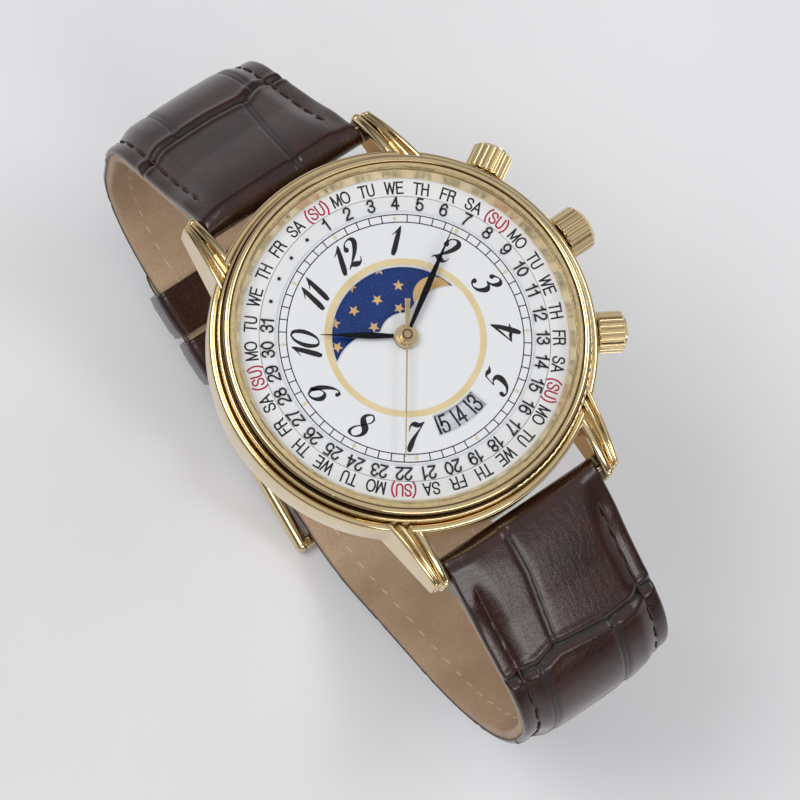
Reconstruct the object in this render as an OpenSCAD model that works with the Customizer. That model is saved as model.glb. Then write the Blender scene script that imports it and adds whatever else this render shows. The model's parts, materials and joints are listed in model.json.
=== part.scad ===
// Moon phase wristwatch on a buckled leather strap, in millimetres.
// The origin is the centre of the case back's outer face. +Z comes out of the dial,
// +X goes to 3 o'clock, where the crown is, and +Y goes to 12 o'clock.

/* [Case] */
// Diameter of the mid-case
case_d = 36.8; // [36.4:0.1:38]
// Thickness of the case back's disc
back_t = 0.8; // [0.6:0.1:1]
// Bore of the mid-case that holds the movement ring
case_bore_d = 31.8; // [31.6:0.1:32]
// Height of the mid-case's rim above its lower face
case_h = 5.15; // [5:0.05:5.3]
// Radius of the rounded rim
rim_r = 0.45; // [0.3:0.05:0.6]
// Outer diameter of the neck that the bezel is pressed on
neck_d = 33.8; // [33.6:0.1:34]
// Height of the neck's top above the dial
neck_h = 0.6; // [0.5:0.05:0.7]
// Height of the snap rim inside the case back
snap_h = 0.9; // [0.7:0.1:1]
// Thickness of the case back gasket
gasket_t = 0.3; // [0.2:0.05:0.35]

/* [Bezel and crystal] */
// Outer diameter of the bezel's lower step
bezel_d = 35.2; // [35:0.1:35.6]
// Outer diameter of the bezel's polished top ring
bezel_ring_d = 34.4; // [34.2:0.1:34.6]
// Inner diameter of the bezel's opening
bezel_opening_d = 33; // [32.8:0.1:33.2]
// Height of the bezel's top above the dial
bezel_h = 1.85; // [1.8:0.05:2]
// Thickness of the crystal
crystal_t = 0.95; // [0.8:0.05:1.2]
// Height of the crystal's lower face above the dial
crystal_rise = 1.5; // [1.5:0.05:1.6]
// Width of the crystal gasket's wall
gasket_w = 0.35; // [0.25:0.05:0.4]
// Inner diameter of the rehaut at the dial
rehaut_d = 30.9; // [30.8:0.1:31]

/* [Lugs] */
// Gap between the lugs, which is the strap's width
lug_gap = 18; // [17.6:0.1:18.4]
// Distance between the lugs' tips along the strap
lug_to_lug = 42.2; // [42:0.1:43]
// Width of the lugs' rounded inner arm
lug_arm_w = 0.95; // [0.85:0.05:1.05]
// Width of each of the two narrow outer ridges
lug_ridge_w = 0.5; // [0.45:0.01:0.55]
// Radius of the lug's falling top line
lug_curve_r = 12.6; // [12:0.1:13]
// Turn of the outermost ridge away from the inner arm
lug_fork_angle = 8; // [7:0.5:9]
// Height of the lugs' lower face above the case back
lug_floor = 0.4; // [0.2:0.1:0.6]
// Distance of the spring bar behind the lug's tip
bar_inset = 1.2; // [1.1:0.05:1.3]
// Height of the spring bar above the case back
bar_rise = 1.9; // [1.8:0.05:2]
// Diameter of the spring bar's pins
bar_pin_d = 0.8; // [0.7:0.05:0.9]
// Diameter of the spring bar's tube
bar_tube_d = 1.5; // [1.4:0.05:1.55]

/* [Dial and hands] */
// Thickness of the dial's middle
dial_t = 0.4; // [0.35:0.05:0.5]
// Diameter of the raised middle of the dial
dial_middle_d = 24.2; // [24:0.1:24.4]
// Outer diameter of the dial's calendar rim
dial_d = 27.3; // [27.2:0.05:27.4]
// Depth of the calendar rim below the dial's middle
dial_step = 0.08; // [0.05:0.01:0.12]
// Outer radius of the moon window
moon_window_r = 6.87; // [6.7:0.01:6.95]
// Radius of the window's hump round the hub
moon_hub_r = 2.44; // [2.3:0.01:2.6]
// Radius of the window's end humps
moon_hump_r = 4.4; // [4.2:0.05:4.6]
// Side distance of the end humps' centres
moon_hump_x = 4.05; // [3.9:0.05:4.2]
// Distance of the end humps' centres below the hub
moon_hump_y = 1.9; // [1.8:0.05:2]
// Inner radius of the date window
date_window_r1 = 7.83; // [7.8:0.01:7.9]
// Outer radius of the date window
date_window_r2 = 9.72; // [9.6:0.01:9.8]
// Half angle of the date window
date_window_half = 16; // [15:0.5:17]
// Bevel round both windows
window_bevel = 0.15; // [0.1:0.01:0.2]
// Length of the hour hand
hour_len = 8; // [7:0.1:8.5]
// Length of the minute hand
minute_len = 11.5; // [11:0.1:11.6]
// Length of the seconds hand
second_len = 11.6; // [11:0.1:12]
// Width of the hour and minute hands at their widest
hand_w = 0.62; // [0.5:0.02:0.7]
// Thickness of each hand
hand_t = 0.12; // [0.1:0.01:0.15]
// Length of the seconds hand's counterweight
tail_len = 3.5; // [3:0.1:3.8]
// Time on the hands: hour
shown_hour = 10.15; // [0:0.05:12]
// Time on the hands: minute
shown_minute = 9.6; // [0:0.1:60]
// Time on the hands: second
shown_second = 36; // [0:1:60]

/* [Weekday ring] */
// Outer diameter of the weekday ring
ring_d = 31.6; // [31.5:0.05:31.65]
// Teeth under the weekday ring
ring_teeth = 94;
// Teeth of the pinion that turns it
ring_pinion_teeth = 12;
// Depth of the ring's teeth
ring_tooth_h = 0.35; // [0.3:0.01:0.37]

/* [Crown and knobs] */
// Depth of the three stems' axis below the dial
stem_drop = 2.6; // [2.55:0.01:2.65]
// Angle between the crown and each knob
knob_angle = 30; // [29:0.5:31]
// Diameter of the crown
crown_d = 4.4; // [4.2:0.1:4.6]
// Length of the crown
crown_len = 2.75; // [2.6:0.05:3]
// Diameter of the two knobs
knob_d = 3.95; // [3.8:0.05:4.1]
// Length of the knobs' fluted part
knob_len = 2.5; // [2.4:0.05:2.7]
// Diameter of the small buttons on the knobs' ends
button_d = 2.9; // [2.7:0.05:3]
// Travel of the moon button
button_travel = 0.4; // [0.3:0.05:0.45]
// Travel of the crown to its outer click
crown_travel = 1.2; // [0.8:0.1:1.3]
// Flutes round the crown
crown_flutes = 24; // [20:1:28]
// Flutes round each knob
knob_flutes = 20; // [18:1:24]
// Diameter of the stems
stem_d = 1; // [0.9:0.05:1.05]
// Outer diameter of the three tubes in the mid-case
tube_d = 2; // [1.9:0.05:2.1]

/* [Movement] */
// Diameter of the movement's main plate
plate_d = 25.9; // [25.8:0.05:25.95]
// Thickness of the main plate's floor
plate_t = 1.4; // [1.35:0.05:1.45]
// Height of the main plate's rim above its floor
plate_rim_h = 1.5; // [1.5:0.05:1.6]
// Diameter of the battery
battery_d = 9.5; // [9.3:0.1:9.5]
// Thickness of the battery
battery_t = 1.95; // [1.8:0.05:2]
// Distance between the hub and the third wheel
third_distance = 3.4; // [3.3:0.02:3.5]
// Distance between the hub and the intermediate wheel
intermediate_distance = 3.4; // [3.36:0.02:3.5]
// Distance between the intermediate wheel and the rotor
rotor_distance = 2.04; // [1.98:0.02:2.1]
// Distance between the hub and the minute wheel
minute_distance = 2.16; // [2.1:0.02:2.2]
// Radius of the moon disc
moon_disc_r = 7.2; // [7.15:0.01:7.25]
// Outer radius of the date disc
date_disc_r = 10.45; // [10.3:0.01:10.5]
// Thickness of the moon disc
moon_disc_t = 0.15; // [0.12:0.01:0.16]
// Thickness of the date disc
date_disc_t = 0.2; // [0.15:0.01:0.2]

/* [Strap] */
// Thickness of the strap's flat borders
strap_t = 1.6; // [1.5:0.05:1.7]
// Thickness of the strap at the lugs
strap_end_t = 2.9; // [2.8:0.05:2.95]
// Thickness of the lining
lining_t = 0.6; // [0.5:0.05:0.7]
// Width of the strap at the buckle
strap_end_w = 16; // [15.6:0.1:16.4]
// Width of the strap's raised cushion
pad_w = 12.4; // [11:0.2:13]
// Height of the cushion above the flat borders
pad_h = 0.8; // [0.6:0.1:1.1]
// Fall of the upper strap behind the lugs
upper_fall = 45; // [44:0.5:46]
// Fall of the lower strap behind the lugs
lower_fall = 31; // [30:0.5:32]
// Reach of the upper strap's centre line from the hub
upper_reach = 34.1; // [33.8:0.1:34.4]
// Reach of the lower strap's centre line from the hub
lower_reach = 35.5; // [35.2:0.1:35.8]
// Tilt of the loop's back, which rises towards 12 o'clock
back_tilt = 13; // [12:0.5:14]
// Depth of the buckle's bar below the case back
bar_depth = 39.2; // [38.8:0.1:39.6]
// Width of a keeper along the strap
keeper_w = 5.1; // [4.9:0.1:5.2]
// Wall of a keeper
keeper_t = 1; // [0.8:0.05:1.1]
// Diameter of the buckle's rod
buckle_rod_d = 1.5; // [1.4:0.05:1.6]
// Length of the buckle from its bar to its outer rod
buckle_len = 11.8; // [11.4:0.1:12]
// Distance of the buckle's bar from the hub along the strap
buckle_bar_y = 5.6; // [5.4:0.1:5.8]
// Width of the tang
tang_w = 1.5; // [1.3:0.1:1.6]
// Thickness of the tang
tang_t = 0.8; // [0.7:0.05:0.85]
// Diameter of the strap's adjustment holes
hole_d = 1.8; // [1.6:0.1:2]
// Distance between adjustment holes
hole_step = 7; // [6.8:0.1:7.2]

/* [Clearances] */
// Running clearance of shafts in their holes
run_gap = 0.04; // [0.03:0.01:0.05]
// Clearance between parts that are put together by hand
fit_gap = 0.05; // [0.03:0.01:0.06]
// Clearance round soft pieces
soft_gap = 0.3; // [0.25:0.05:0.35]

/* [Hidden] */
$fn = 96;
small_fn = 32;
cut = 0.5;

gold = [0.86, 0.7, 0.4];
steel = [0.72, 0.73, 0.75];
brass = [0.78, 0.62, 0.3];
leather = [0.24, 0.12, 0.1];
tan = [0.72, 0.55, 0.4];

case_r = case_d / 2;
bore_r = case_bore_d / 2;
neck_r = neck_d / 2;
case_z = back_t;
rim_z = case_z + case_h;
plate_z = 3.2;
plate_top = plate_z + plate_t;
dial_seat = plate_top + plate_rim_h;
dial_z = dial_seat + dial_t;
rim_face_z = dial_z - dial_step;
neck_z = dial_z + neck_h;
bezel_z = dial_z + bezel_h;
crystal_z = dial_z + crystal_rise;
stem_z = dial_z - stem_drop;
seat_r = bore_r + 0.7;
back_r = case_r - 0.6;
ledge_z = case_z + snap_h + gasket_t;
lug_axis_y = 12.58;
lug_top_z = case_z + case_h - 0.05;
lug_axis_z = lug_top_z - lug_curve_r * cos(12);
lug_depth = 7;
lug_low = lug_floor;
lug_tip_y = lug_to_lug / 2;
arm_end_y = lug_tip_y - lug_arm_w / 2;
inner_arm_x = lug_gap / 2 + lug_arm_w / 2;
middle_ridge_x = inner_arm_x + lug_arm_w / 2 + 0.2;
middle_ridge_turn = 0.55 * lug_fork_angle;
outer_ridge_x = middle_ridge_x + 0.7 * lug_ridge_w;
lug_corner_r = 1.7;
bar_y = lug_tip_y - bar_inset;
bar_z = bar_rise;
gasket_foot = 0.2;
glass_seat_z = crystal_z - gasket_foot;
rehaut_lip_t = 0.35;
rehaut_lip_z = neck_z + rehaut_lip_t;
rehaut_lip_r = bore_r + 0.5;
crystal_r = bezel_opening_d / 2 - gasket_w;
tube_len = 4.2;
knob_start = case_r + 0.12;
tube_out = bore_r + tube_len - knob_start;
crown_hollow_r = tube_d / 2 + 0.45;
crown_bite = crown_len - 0.35;
stem_start = 4.6;
fork_x = 7.2;
fork_t = 0.4;
groove_r = 0.3;
button_out = 0.55;
pusher_end = plate_d / 2 + 0.5;
ring_t = 0.3;
ring_face_z = rim_face_z - ring_t;
ring_r = ring_d / 2;
ring_gear_r = ring_r - 0.55;
ring_pinion_w = 0.6;
ring_pinion_x = ring_gear_r - ring_pinion_w / 2;
ring_pinion_r = ring_gear_r * ring_pinion_teeth / ring_teeth;
foot_r = 11.8;
foot_h = 1;
foot_pin_r = 0.35;
hour_pipe_r = 0.8;
cannon_r = 0.45;
second_arbor_r = 0.2;
moon_disc_z = dial_seat - fit_gap - moon_disc_t;
neck_post_r = 1.1;
date_disc_z = moon_disc_z - 0.06 - date_disc_t;
calendar_t = 0.2;
calendar_z = date_disc_z - 0.04 - calendar_t;
calendar_r = 9.7;
bridge_z = 1.45;
bridge_t = 0.3;
screw_r = 0.25;
pivot_r = 0.12;
third_place = third_distance * [cos(-60), sin(-60)];
intermediate_place = intermediate_distance * [cos(120), sin(120)];
rotor_place = intermediate_place + rotor_distance * [cos(110), sin(110)];
minute_place = [minute_distance, 0];
hour_unit = 2 * minute_distance / 50;
date_distance = hour_unit * 60;
date_place = date_distance * [cos(200), sin(200)];
battery_place = [-7.8, -2];
corrector_pivot = 11.6 * [cos(48), sin(48)];
board_t = 0.3;
can_r = 0.72;
coil_z = 2.2;
stator_t = 0.3;
train_low = bridge_z + 0.05;
train_high = plate_z + 0.3;
pinion_level = 1.92;
middle_level = 2.32;
top_level = 2.72;
wheel_t = 0.15;
cannon_level = plate_top + 0.1;
hour_level = cannon_level + 0.34;
half_t = strap_t / 2;
skin = half_t - lining_t;
loop_end_r = strap_end_t / 2;
swell = strap_end_t / strap_t - 1;
swell_run = 8;
strap_w = lug_gap - 0.4;
tail_gap = 0.3;
upper_out = 90 - upper_fall;
upper_bend_r = 9.5;
upper_bend_y = upper_reach - upper_bend_r;
upper_bend_c = [upper_bend_y, (direction(upper_out) * [bar_y, bar_z] - upper_bend_r
    - cos(upper_out) * upper_bend_y) / sin(upper_out)];
bar_back = [buckle_bar_y, -bar_depth];
back_out = back_tilt - 90;
upper_back_r = 13;
upper_back_y = upper_reach - upper_back_r;
upper_back_c = [upper_back_y, (direction(back_out) * bar_back - upper_back_r
    - cos(back_out) * upper_back_y) / sin(back_out)];
lower_out = 90 + lower_fall;
lower_bend_r = 8.5;
lower_bend_y = lower_bend_r - lower_reach;
lower_bend_c = [lower_bend_y, (direction(lower_out) * [-bar_y, bar_z] - lower_bend_r
    - cos(lower_out) * lower_bend_y) / sin(lower_out)];
knee_r = 24;
knee_turn = 60;
knee_c = [knee_r - lower_reach, lower_bend_c[1] - 2.2];
heel_r = 10;
heel_level = -0.7;
heel_out = 180 + knee_turn - back_tilt;
heel_y = (direction(180 + knee_turn) * (knee_c - bar_back) + knee_r - heel_r
    - sin(heel_out) * (heel_level + heel_r)) / cos(heel_out);
heel_c = [heel_y, heel_level + heel_r];
tail_level = -strap_t - tail_gap;
bend_run = 8;
bend_turn = 2 * atan((heel_level - tail_level) / bend_run);
bend_r = bend_run / (2 * sin(bend_turn));
bend_end_y = heel_y + bend_run;
tail_turn = 24;
upper_line = concat(
    lug_stretch([bar_y, bar_z], upper_out, -90),
    arc_points(upper_bend_c, upper_bend_r, upper_out, 0),
    arc_points(upper_back_c, upper_back_r, 0, back_out),
    [[bar_back[0], bar_back[1], cos(back_out), sin(back_out)]]);
upper_pad_line = concat(
    lug_stretch([bar_y, bar_z], upper_out, -90, 1),
    arc_points(upper_bend_c, upper_bend_r, upper_out, 0),
    arc_points(upper_back_c, upper_back_r, 0, -60));
lower_line = concat(
    lug_stretch([-bar_y, bar_z], lower_out, 90),
    arc_points(lower_bend_c, lower_bend_r, lower_out, 180),
    arc_points(knee_c, knee_r, 180, 180 + knee_turn),
    on_back_points(concat(
        arc_points(heel_c, heel_r, heel_out, 270),
        arc_points([heel_y, heel_level - bend_r], bend_r, 90, 90 - bend_turn, -1),
        arc_points([bend_end_y, tail_level + bend_r], bend_r, 270 - bend_turn, 270))),
    arc_points(upper_back_c, upper_back_r - tail_level, back_out, back_out + tail_turn));
lower_pad_line = concat(
    lug_stretch([-bar_y, bar_z], lower_out, 90, 1),
    arc_points(lower_bend_c, lower_bend_r, lower_out, 180),
    arc_points(knee_c, knee_r, 180, 174 + knee_turn));
used_hole_y = -1.6;
flat_path = used_hole_y - bend_end_y + 2 * bend_r * bend_turn * PI / 180;
heel_path = heel_r * (270 - heel_out) * PI / 180;
buckle_bar_d = 1.1;
buckle_end_r = buckle_bar_d / 2 + 0.45;
fixed_keeper_y = 13.3;
keeper_gap = 0.6;
rod_r = buckle_rod_d / 2;
rod_y = -buckle_len;
rod_z = heel_level - half_t - soft_gap - rod_r;
side_x = strap_end_w / 2 + 0.3 + rod_r;
corner_r = rod_r * 1.04;
eye_w = 2 * rod_r + 0.04;
frame_len = norm([buckle_len, rod_z]);
frame_lean = atan2(-rod_z, buckle_len);
eye_r = 1.2;
tube_half = lug_gap / 2 - 0.4;
pin_reach = lug_gap / 2 + 0.85;
flange_x = tube_half - 0.45;

// The axis of local z turned along +X, with local x along +Y and local y along +Z
module along_x() {
    rotate([90, 0, 90]) children();
}

// A knob's axis: local z points out of the case at the given angle
module radial(angle) {
    translate([0, 0, stem_z]) rotate([0, 0, angle]) rotate([0, 90, 0]) children();
}

// A flat ring
module ring(outer, inner, height) {
    difference() {
        cylinder(r = outer, h = height);
        translate([0, 0, -cut]) cylinder(r = inner, h = height + 2 * cut);
    }
}

// A gear with straight-sided teeth, one of them centred on the direction "at"
module gear(teeth, pitch_r, thick, bore, at = 0) {
    unit = 2 * pitch_r / teeth;
    tip = pitch_r + 0.8 * unit;
    root = pitch_r - 1.1 * unit;
    corners = [[root, -0.27], [tip, -0.11], [tip, 0.11], [root, 0.27]];
    difference() {
        linear_extrude(thick) polygon([for (i = [0:teeth - 1]) for (c = corners)
            let(a = at + (i + c[1]) * 360 / teeth) [c[0] * cos(a), c[0] * sin(a)]]);
        translate([0, 0, -cut]) cylinder(r = bore, h = thick + 2 * cut, $fn = small_fn);
    }
}

// The unit vector at an angle
function direction(angle) = [cos(angle), sin(angle)];

// Points along an arc of the strap's centre line, each with its outward direction.
// "side" is 1 where the arc bends round the wrist and -1 where it bends away
function arc_points(centre, radius, from, to, side = 1) = let(count = ceil(abs(to - from) / 6))
    [for (i = [0:count]) let(a = from + (to - from) * i / count)
        [centre[0] + radius * cos(a), centre[1] + radius * sin(a), side * cos(a), side * sin(a)]];

// The strap's straight stretch behind a lug, swelling towards the bar. Its fifth value is the swelling
function lug_stretch(bar, out, turn, first = 0) = [for (i = [first:4]) let(
    run = i * swell_run / 4,
    place = bar + run * direction(out + turn),
    share = pow(cos(90 * i / 4), 2)) [place[0], place[1], cos(out), sin(out), 1 + swell * share]];

// How much thicker than its borders the strap is at a point of its line
function swelled(point) = len(point) > 4 ? point[4] : 1;

// A line's points moved outward by an offset
function moved(line, offset) = [for (p = line)
    [p[0] + swelled(p) * offset * p[2], p[1] + swelled(p) * offset * p[3]]];

// Points of the loop's tilted back, given along it and square to it from the buckle's bar
function on_back_points(points) = [for (p = points) let(
    along = direction(back_tilt),
    inward = direction(back_tilt + 90),
    place = bar_back + p[0] * along + p[1] * inward,
    out = p[2] * along + p[3] * inward) [place[0], place[1], out[0], out[1]]];

// The frame of the loop's back: local +Y runs up along it and local +Z points to the wrist
module on_back() {
    translate([0, bar_back[0], bar_back[1]]) rotate([back_tilt, 0, 0]) children();
}

// A list in the other order
function reversed(list) = [for (i = [len(list) - 1:-1:0]) list[i]];

// A layer of the strap between two offsets from its centre line
module layer(line, inner, outer, width) {
    translate([-width / 2, 0, 0]) along_x() linear_extrude(width)
        polygon(concat(moved(line, outer), reversed(moved(line, inner))));
}

// The raised cushion along a line, low at both ends
module cushion(line) {
    last = len(line) - 1;
    for (step = [[pad_w + 1.8, 0.55 * pad_h, 0], [pad_w, pad_h, 1]])
        translate([-step[0] / 2, 0, 0]) along_x() linear_extrude(step[0]) polygon(concat(
            [for (i = [step[2]:last - step[2]]) let(
                share = min(1, min(i - step[2], last - step[2] - i) / 3),
                offset = swelled(line[i]) * half_t - 0.2 + (0.2 + step[1]) * sin(90 * share))
                [line[i][0] + offset * line[i][2], line[i][1] + offset * line[i][3]]],
            reversed(moved([for (i = [step[2]:last - step[2]]) line[i]], skin))));
}

// One rounded ridge of a lug along +Y at x, turned about its tip
module lug_ridge(x, end_y, width, turn) {
    r = width / 2;
    tube_r = lug_curve_r - r;
    end_z = lug_axis_z + sqrt(pow(tube_r, 2) - pow(end_y - lug_axis_y, 2));
    translate([x, end_y, 0]) rotate([0, 0, turn]) translate([0, -end_y, 0]) {
        intersection() {
            translate([0, lug_axis_y, lug_axis_z]) along_x() rotate([0, 0, 30])
                rotate_extrude(angle = 66) union() {
                    translate([tube_r, 0]) circle(r = r, $fn = small_fn);
                    translate([tube_r - lug_depth, -r]) square([lug_depth, width]);
                }
            translate([-width, 0, lug_low]) cube([2 * width, end_y, case_d]);
        }
        translate([0, end_y, lug_low]) cylinder(r = r, h = end_z - lug_low, $fn = small_fn);
        translate([0, end_y, end_z]) sphere(r = r, $fn = small_fn);
    }
}

// The lugs' side outline, with the lower corner rounded at the tip
module lug_outline() {
    corner_y = lug_tip_y + 0.2 - lug_corner_r;
    translate([lug_gap / 2 - cut, 0, 0]) along_x() linear_extrude(6) {
        translate([0, lug_low - cut]) square([corner_y, case_d]);
        translate([corner_y - cut, lug_low - cut + lug_corner_r]) square([lug_corner_r + cut, case_d]);
        translate([corner_y, lug_low - cut + lug_corner_r]) circle(r = lug_corner_r);
    }
}

// One forked lug at 1 o'clock: the inner arm, two narrow ridges and the lower web between them
module lug() {
    web_r = lug_curve_r - 0.9;
    web_y = lug_axis_y - 1.6;
    intersection() {
        union() {
            lug_ridge(inner_arm_x, arm_end_y, lug_arm_w, 0);
            lug_ridge(middle_ridge_x, arm_end_y - 0.1, lug_ridge_w, middle_ridge_turn);
            lug_ridge(outer_ridge_x, arm_end_y - 0.25, lug_ridge_w, lug_fork_angle);
            intersection() {
                translate([0, lug_axis_y, lug_axis_z]) along_x() rotate([0, 0, 30])
                    rotate_extrude(angle = 66) translate([web_r - lug_depth, lug_gap / 2])
                        square([lug_depth, 6]);
                translate([0, 0, lug_low]) linear_extrude(case_d) polygon([
                    [inner_arm_x, arm_end_y], [outer_ridge_x, arm_end_y - 0.25],
                    [outer_ridge_x + (arm_end_y - 0.25 - web_y) * tan(lug_fork_angle), web_y],
                    [inner_arm_x, web_y]]);
            }
        }
        lug_outline();
    }
}

// The x of a lug ridge's side at some length back from the arm's end; side is -1 or 1
function ridge_side(x, width, turn, back, side) = x + back * tan(turn) + side * (width / 2 - 0.03);

// The open grooves between a lug's ridges at its root, which also part the case's rim
module lug_grooves() {
    root = arm_end_y - 13.5;
    depth = 1.4;
    difference() {
        translate([0, 0, rim_z - depth]) linear_extrude(2 * depth) {
            polygon([for (back = [root, 1.2]) for (side = [1, -1]) let(s = back == root ? side : -side)
                [s > 0 ? ridge_side(inner_arm_x, lug_arm_w, 0, back, 1)
                    : ridge_side(middle_ridge_x, lug_ridge_w, middle_ridge_turn, back, -1),
                arm_end_y - back]]);
            polygon([for (back = [root, 3]) for (side = [1, -1]) let(s = back == root ? side : -side)
                [s > 0 ? ridge_side(middle_ridge_x, lug_ridge_w, middle_ridge_turn, back, 1)
                    : ridge_side(outer_ridge_x, lug_ridge_w, lug_fork_angle, back, -1),
                arm_end_y - back]]);
        }
        translate([0, 0, rim_z - 2 * depth]) cylinder(r = bezel_d / 2 + fit_gap, h = 4 * depth);
    }
}

// The places of the four lugs
module four_lugs() {
    for (side = [0, 1]) for (end = [0, 1])
        mirror([side, 0, 0]) mirror([0, end, 0]) children();
}

// The gold mid-case with its lugs
module mid_case() {
    color(gold) difference() {
        union() {
            rotate_extrude() polygon([
                [seat_r - 1, case_z], [case_r - 0.3, case_z], [case_r - 0.15, case_z + 0.4],
                [case_r - 0.03, case_z + 2.2], [case_r, case_z + 3.6], [case_r, rim_z - rim_r],
                [case_r - rim_r, rim_z - rim_r / 2], [bezel_d / 2 + fit_gap, rim_z - rim_r],
                [neck_r, rim_z - rim_r], [neck_r, neck_z], [seat_r - 1, neck_z]]);
            rotate_extrude() translate([case_r - rim_r, rim_z - rim_r]) circle(r = rim_r);
            difference() {
                four_lugs() lug();
                translate([0, 0, -case_d]) cylinder(r = case_r - 1, h = 2 * case_d);
                translate([0, 0, -case_d]) cylinder(r = back_r + fit_gap, h = case_d + case_z);
            }
        }
        translate([0, 0, rim_z - rim_r]) ring(bezel_d / 2 + fit_gap, neck_r, 2 * rim_r);
        translate([0, 0, case_z - cut]) cylinder(r = bore_r, h = case_d);
        translate([0, 0, case_z - cut]) cylinder(r = seat_r, h = ledge_z - case_z + cut);
        for (angle = [-knob_angle, 0, knob_angle])
            radial(angle) translate([0, 0, bore_r - 1]) cylinder(r = tube_d / 2, h = 5);
        four_lugs() lug_grooves();
        four_lugs() translate([lug_gap / 2 - cut, bar_y, bar_z])
            rotate([0, 90, 0]) cylinder(r = bar_pin_d / 2 + fit_gap, h = 1 + cut, $fn = small_fn);
    }
}

// The polished stepped bezel
module bezel() {
    top_r = bezel_ring_d / 2;
    opening_r = bezel_opening_d / 2;
    bead = (top_r - opening_r) / 2;
    step_z = neck_z - 0.1;
    color(gold) rotate_extrude() {
        difference() {
            polygon([
                [neck_r, rim_z - rim_r], [bezel_d / 2, rim_z - rim_r], [bezel_d / 2, step_z],
                [top_r, step_z], [top_r, bezel_z - bead], [opening_r, bezel_z - bead],
                [opening_r, glass_seat_z], [bore_r + 0.05, glass_seat_z],
                [bore_r + 0.05, rehaut_lip_z], [rehaut_lip_r, rehaut_lip_z],
                [rehaut_lip_r, neck_z], [neck_r, neck_z]]);
            translate([top_r + 0.05, step_z]) circle(r = 0.12, $fn = small_fn);
        }
        translate([opening_r + bead, bezel_z - bead]) circle(r = bead, $fn = small_fn);
        translate([bezel_d / 2 - 0.18, step_z]) circle(r = 0.15, $fn = small_fn);
    }
}

// The flat crystal with a small bevel
module crystal() {
    bevel = 0.25;
    color([0.85, 0.9, 0.95, 0.3]) rotate_extrude() polygon([
        [0, crystal_z], [crystal_r, crystal_z], [crystal_r, crystal_z + crystal_t - bevel],
        [crystal_r - bevel, crystal_z + crystal_t], [0, crystal_z + crystal_t]]);
}

// The L-shaped gasket that grips the crystal
module crystal_gasket() {
    opening_r = bezel_opening_d / 2;
    color([0.9, 0.86, 0.75]) rotate_extrude() polygon([
        [crystal_r - 0.15, glass_seat_z], [opening_r, glass_seat_z], [opening_r, bezel_z - 0.3],
        [crystal_r, bezel_z - 0.3], [crystal_r, crystal_z], [crystal_r - 0.15, crystal_z]]);
}

// The sloping ring between the dial and the crystal
module rehaut() {
    color(gold) rotate_extrude() polygon([
        [rehaut_d / 2, dial_z], [bore_r - fit_gap, dial_z], [bore_r - fit_gap, neck_z],
        [rehaut_lip_r - fit_gap, neck_z], [rehaut_lip_r - fit_gap, rehaut_lip_z],
        [bore_r + 0.03, rehaut_lip_z], [bore_r + 0.03, glass_seat_z - 0.1],
        [bore_r - 0.05, glass_seat_z - 0.1]]);
}

// The snap-on case back, with an opening notch at 9 o'clock
module case_back() {
    snap_r = seat_r - fit_gap;
    color(steel) difference() {
        union() {
            rotate_extrude() polygon([
                [0, 0], [seat_r - 1, 0], [back_r, back_t - 0.25], [back_r, back_t],
                [snap_r, back_t], [snap_r, back_t + snap_h], [snap_r - 0.55, back_t + snap_h],
                [snap_r - 0.55, back_t], [0, back_t]]);
        }
        translate([-case_r, -1.2, back_t - 0.2]) cube([1, 2.4, 0.3]);
    }
}

// The flat gasket between the case back and the mid-case
module case_back_gasket() {
    color("dimgray") translate([0, 0, case_z + snap_h])
        ring(seat_r - fit_gap, seat_r - 0.55, gasket_t);
}

// The three tubes pressed into the mid-case for the crown and the knobs
module stem_tubes() {
    color(gold) for (angle = [-knob_angle, 0, knob_angle])
        radial(angle) translate([0, 0, bore_r]) ring(tube_d / 2, stem_d / 2 + run_gap, tube_len);
}

// A fluted knob with its grooves cut along its side
module fluted(outer_d, length, flutes, chamfer) {
    r = outer_d / 2;
    groove = 0.32 * PI * outer_d / flutes;
    difference() {
        rotate_extrude() polygon([
            [0, 0], [r - 0.15, 0], [r, 0.15], [r, length - chamfer], [r - chamfer, length],
            [0, length]]);
        for (i = [0:flutes - 1]) rotate([0, 0, i * 360 / flutes])
            translate([r + groove * 0.35, 0, -cut]) cylinder(r = groove, h = length + 1, $fn = 16);
    }
}

// The crown, hollow round its tube
module crown() {
    color(gold) radial(0) translate([0, 0, knob_start]) difference() {
        fluted(crown_d, crown_len, crown_flutes, 0.4);
        translate([0, 0, -cut]) cylinder(r = crown_hollow_r, h = cut + tube_out + 0.3);
        cylinder(r = stem_d / 2, h = crown_bite);
    }
}

// The sealing ring inside the crown
module crown_gasket() {
    color("black") radial(0) translate([0, 0, knob_start + 0.2])
        ring(crown_hollow_r, tube_d / 2 + 0.02, 0.4);
}

// The stem that carries the crown, with the fork's groove
module winding_stem() {
    color(steel) radial(0) difference() {
        translate([0, 0, stem_start])
            cylinder(r = stem_d / 2, h = knob_start + crown_bite - stem_start);
        translate([0, 0, fork_x - fit_gap])
            ring(stem_d, groove_r, fork_t + 2 * fit_gap);
    }
}

// The pinion on the stem's inner end, which sets the hands
module sliding_pinion() {
    color(brass) radial(0) translate([0, 0, stem_start + 0.1])
        gear(12, 0.66, 1, stem_d / 2 + 0.01);
}

// The fork that holds the stem and clicks with it
module setting_fork() {
    slot_w = 2 * (groove_r + run_gap);
    color(steel) translate([fork_x, 0, 0]) difference() {
        translate([0, -1.3, stem_z - 0.45]) cube([fork_t, 2.6, 1.3]);
        translate([-cut, -slot_w / 2, stem_z]) cube([1 + fork_t, slot_w, 2]);
        translate([-cut, 0, stem_z]) rotate([0, 90, 0]) cylinder(r = slot_w / 2, h = 1 + fork_t);
    }
}

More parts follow.
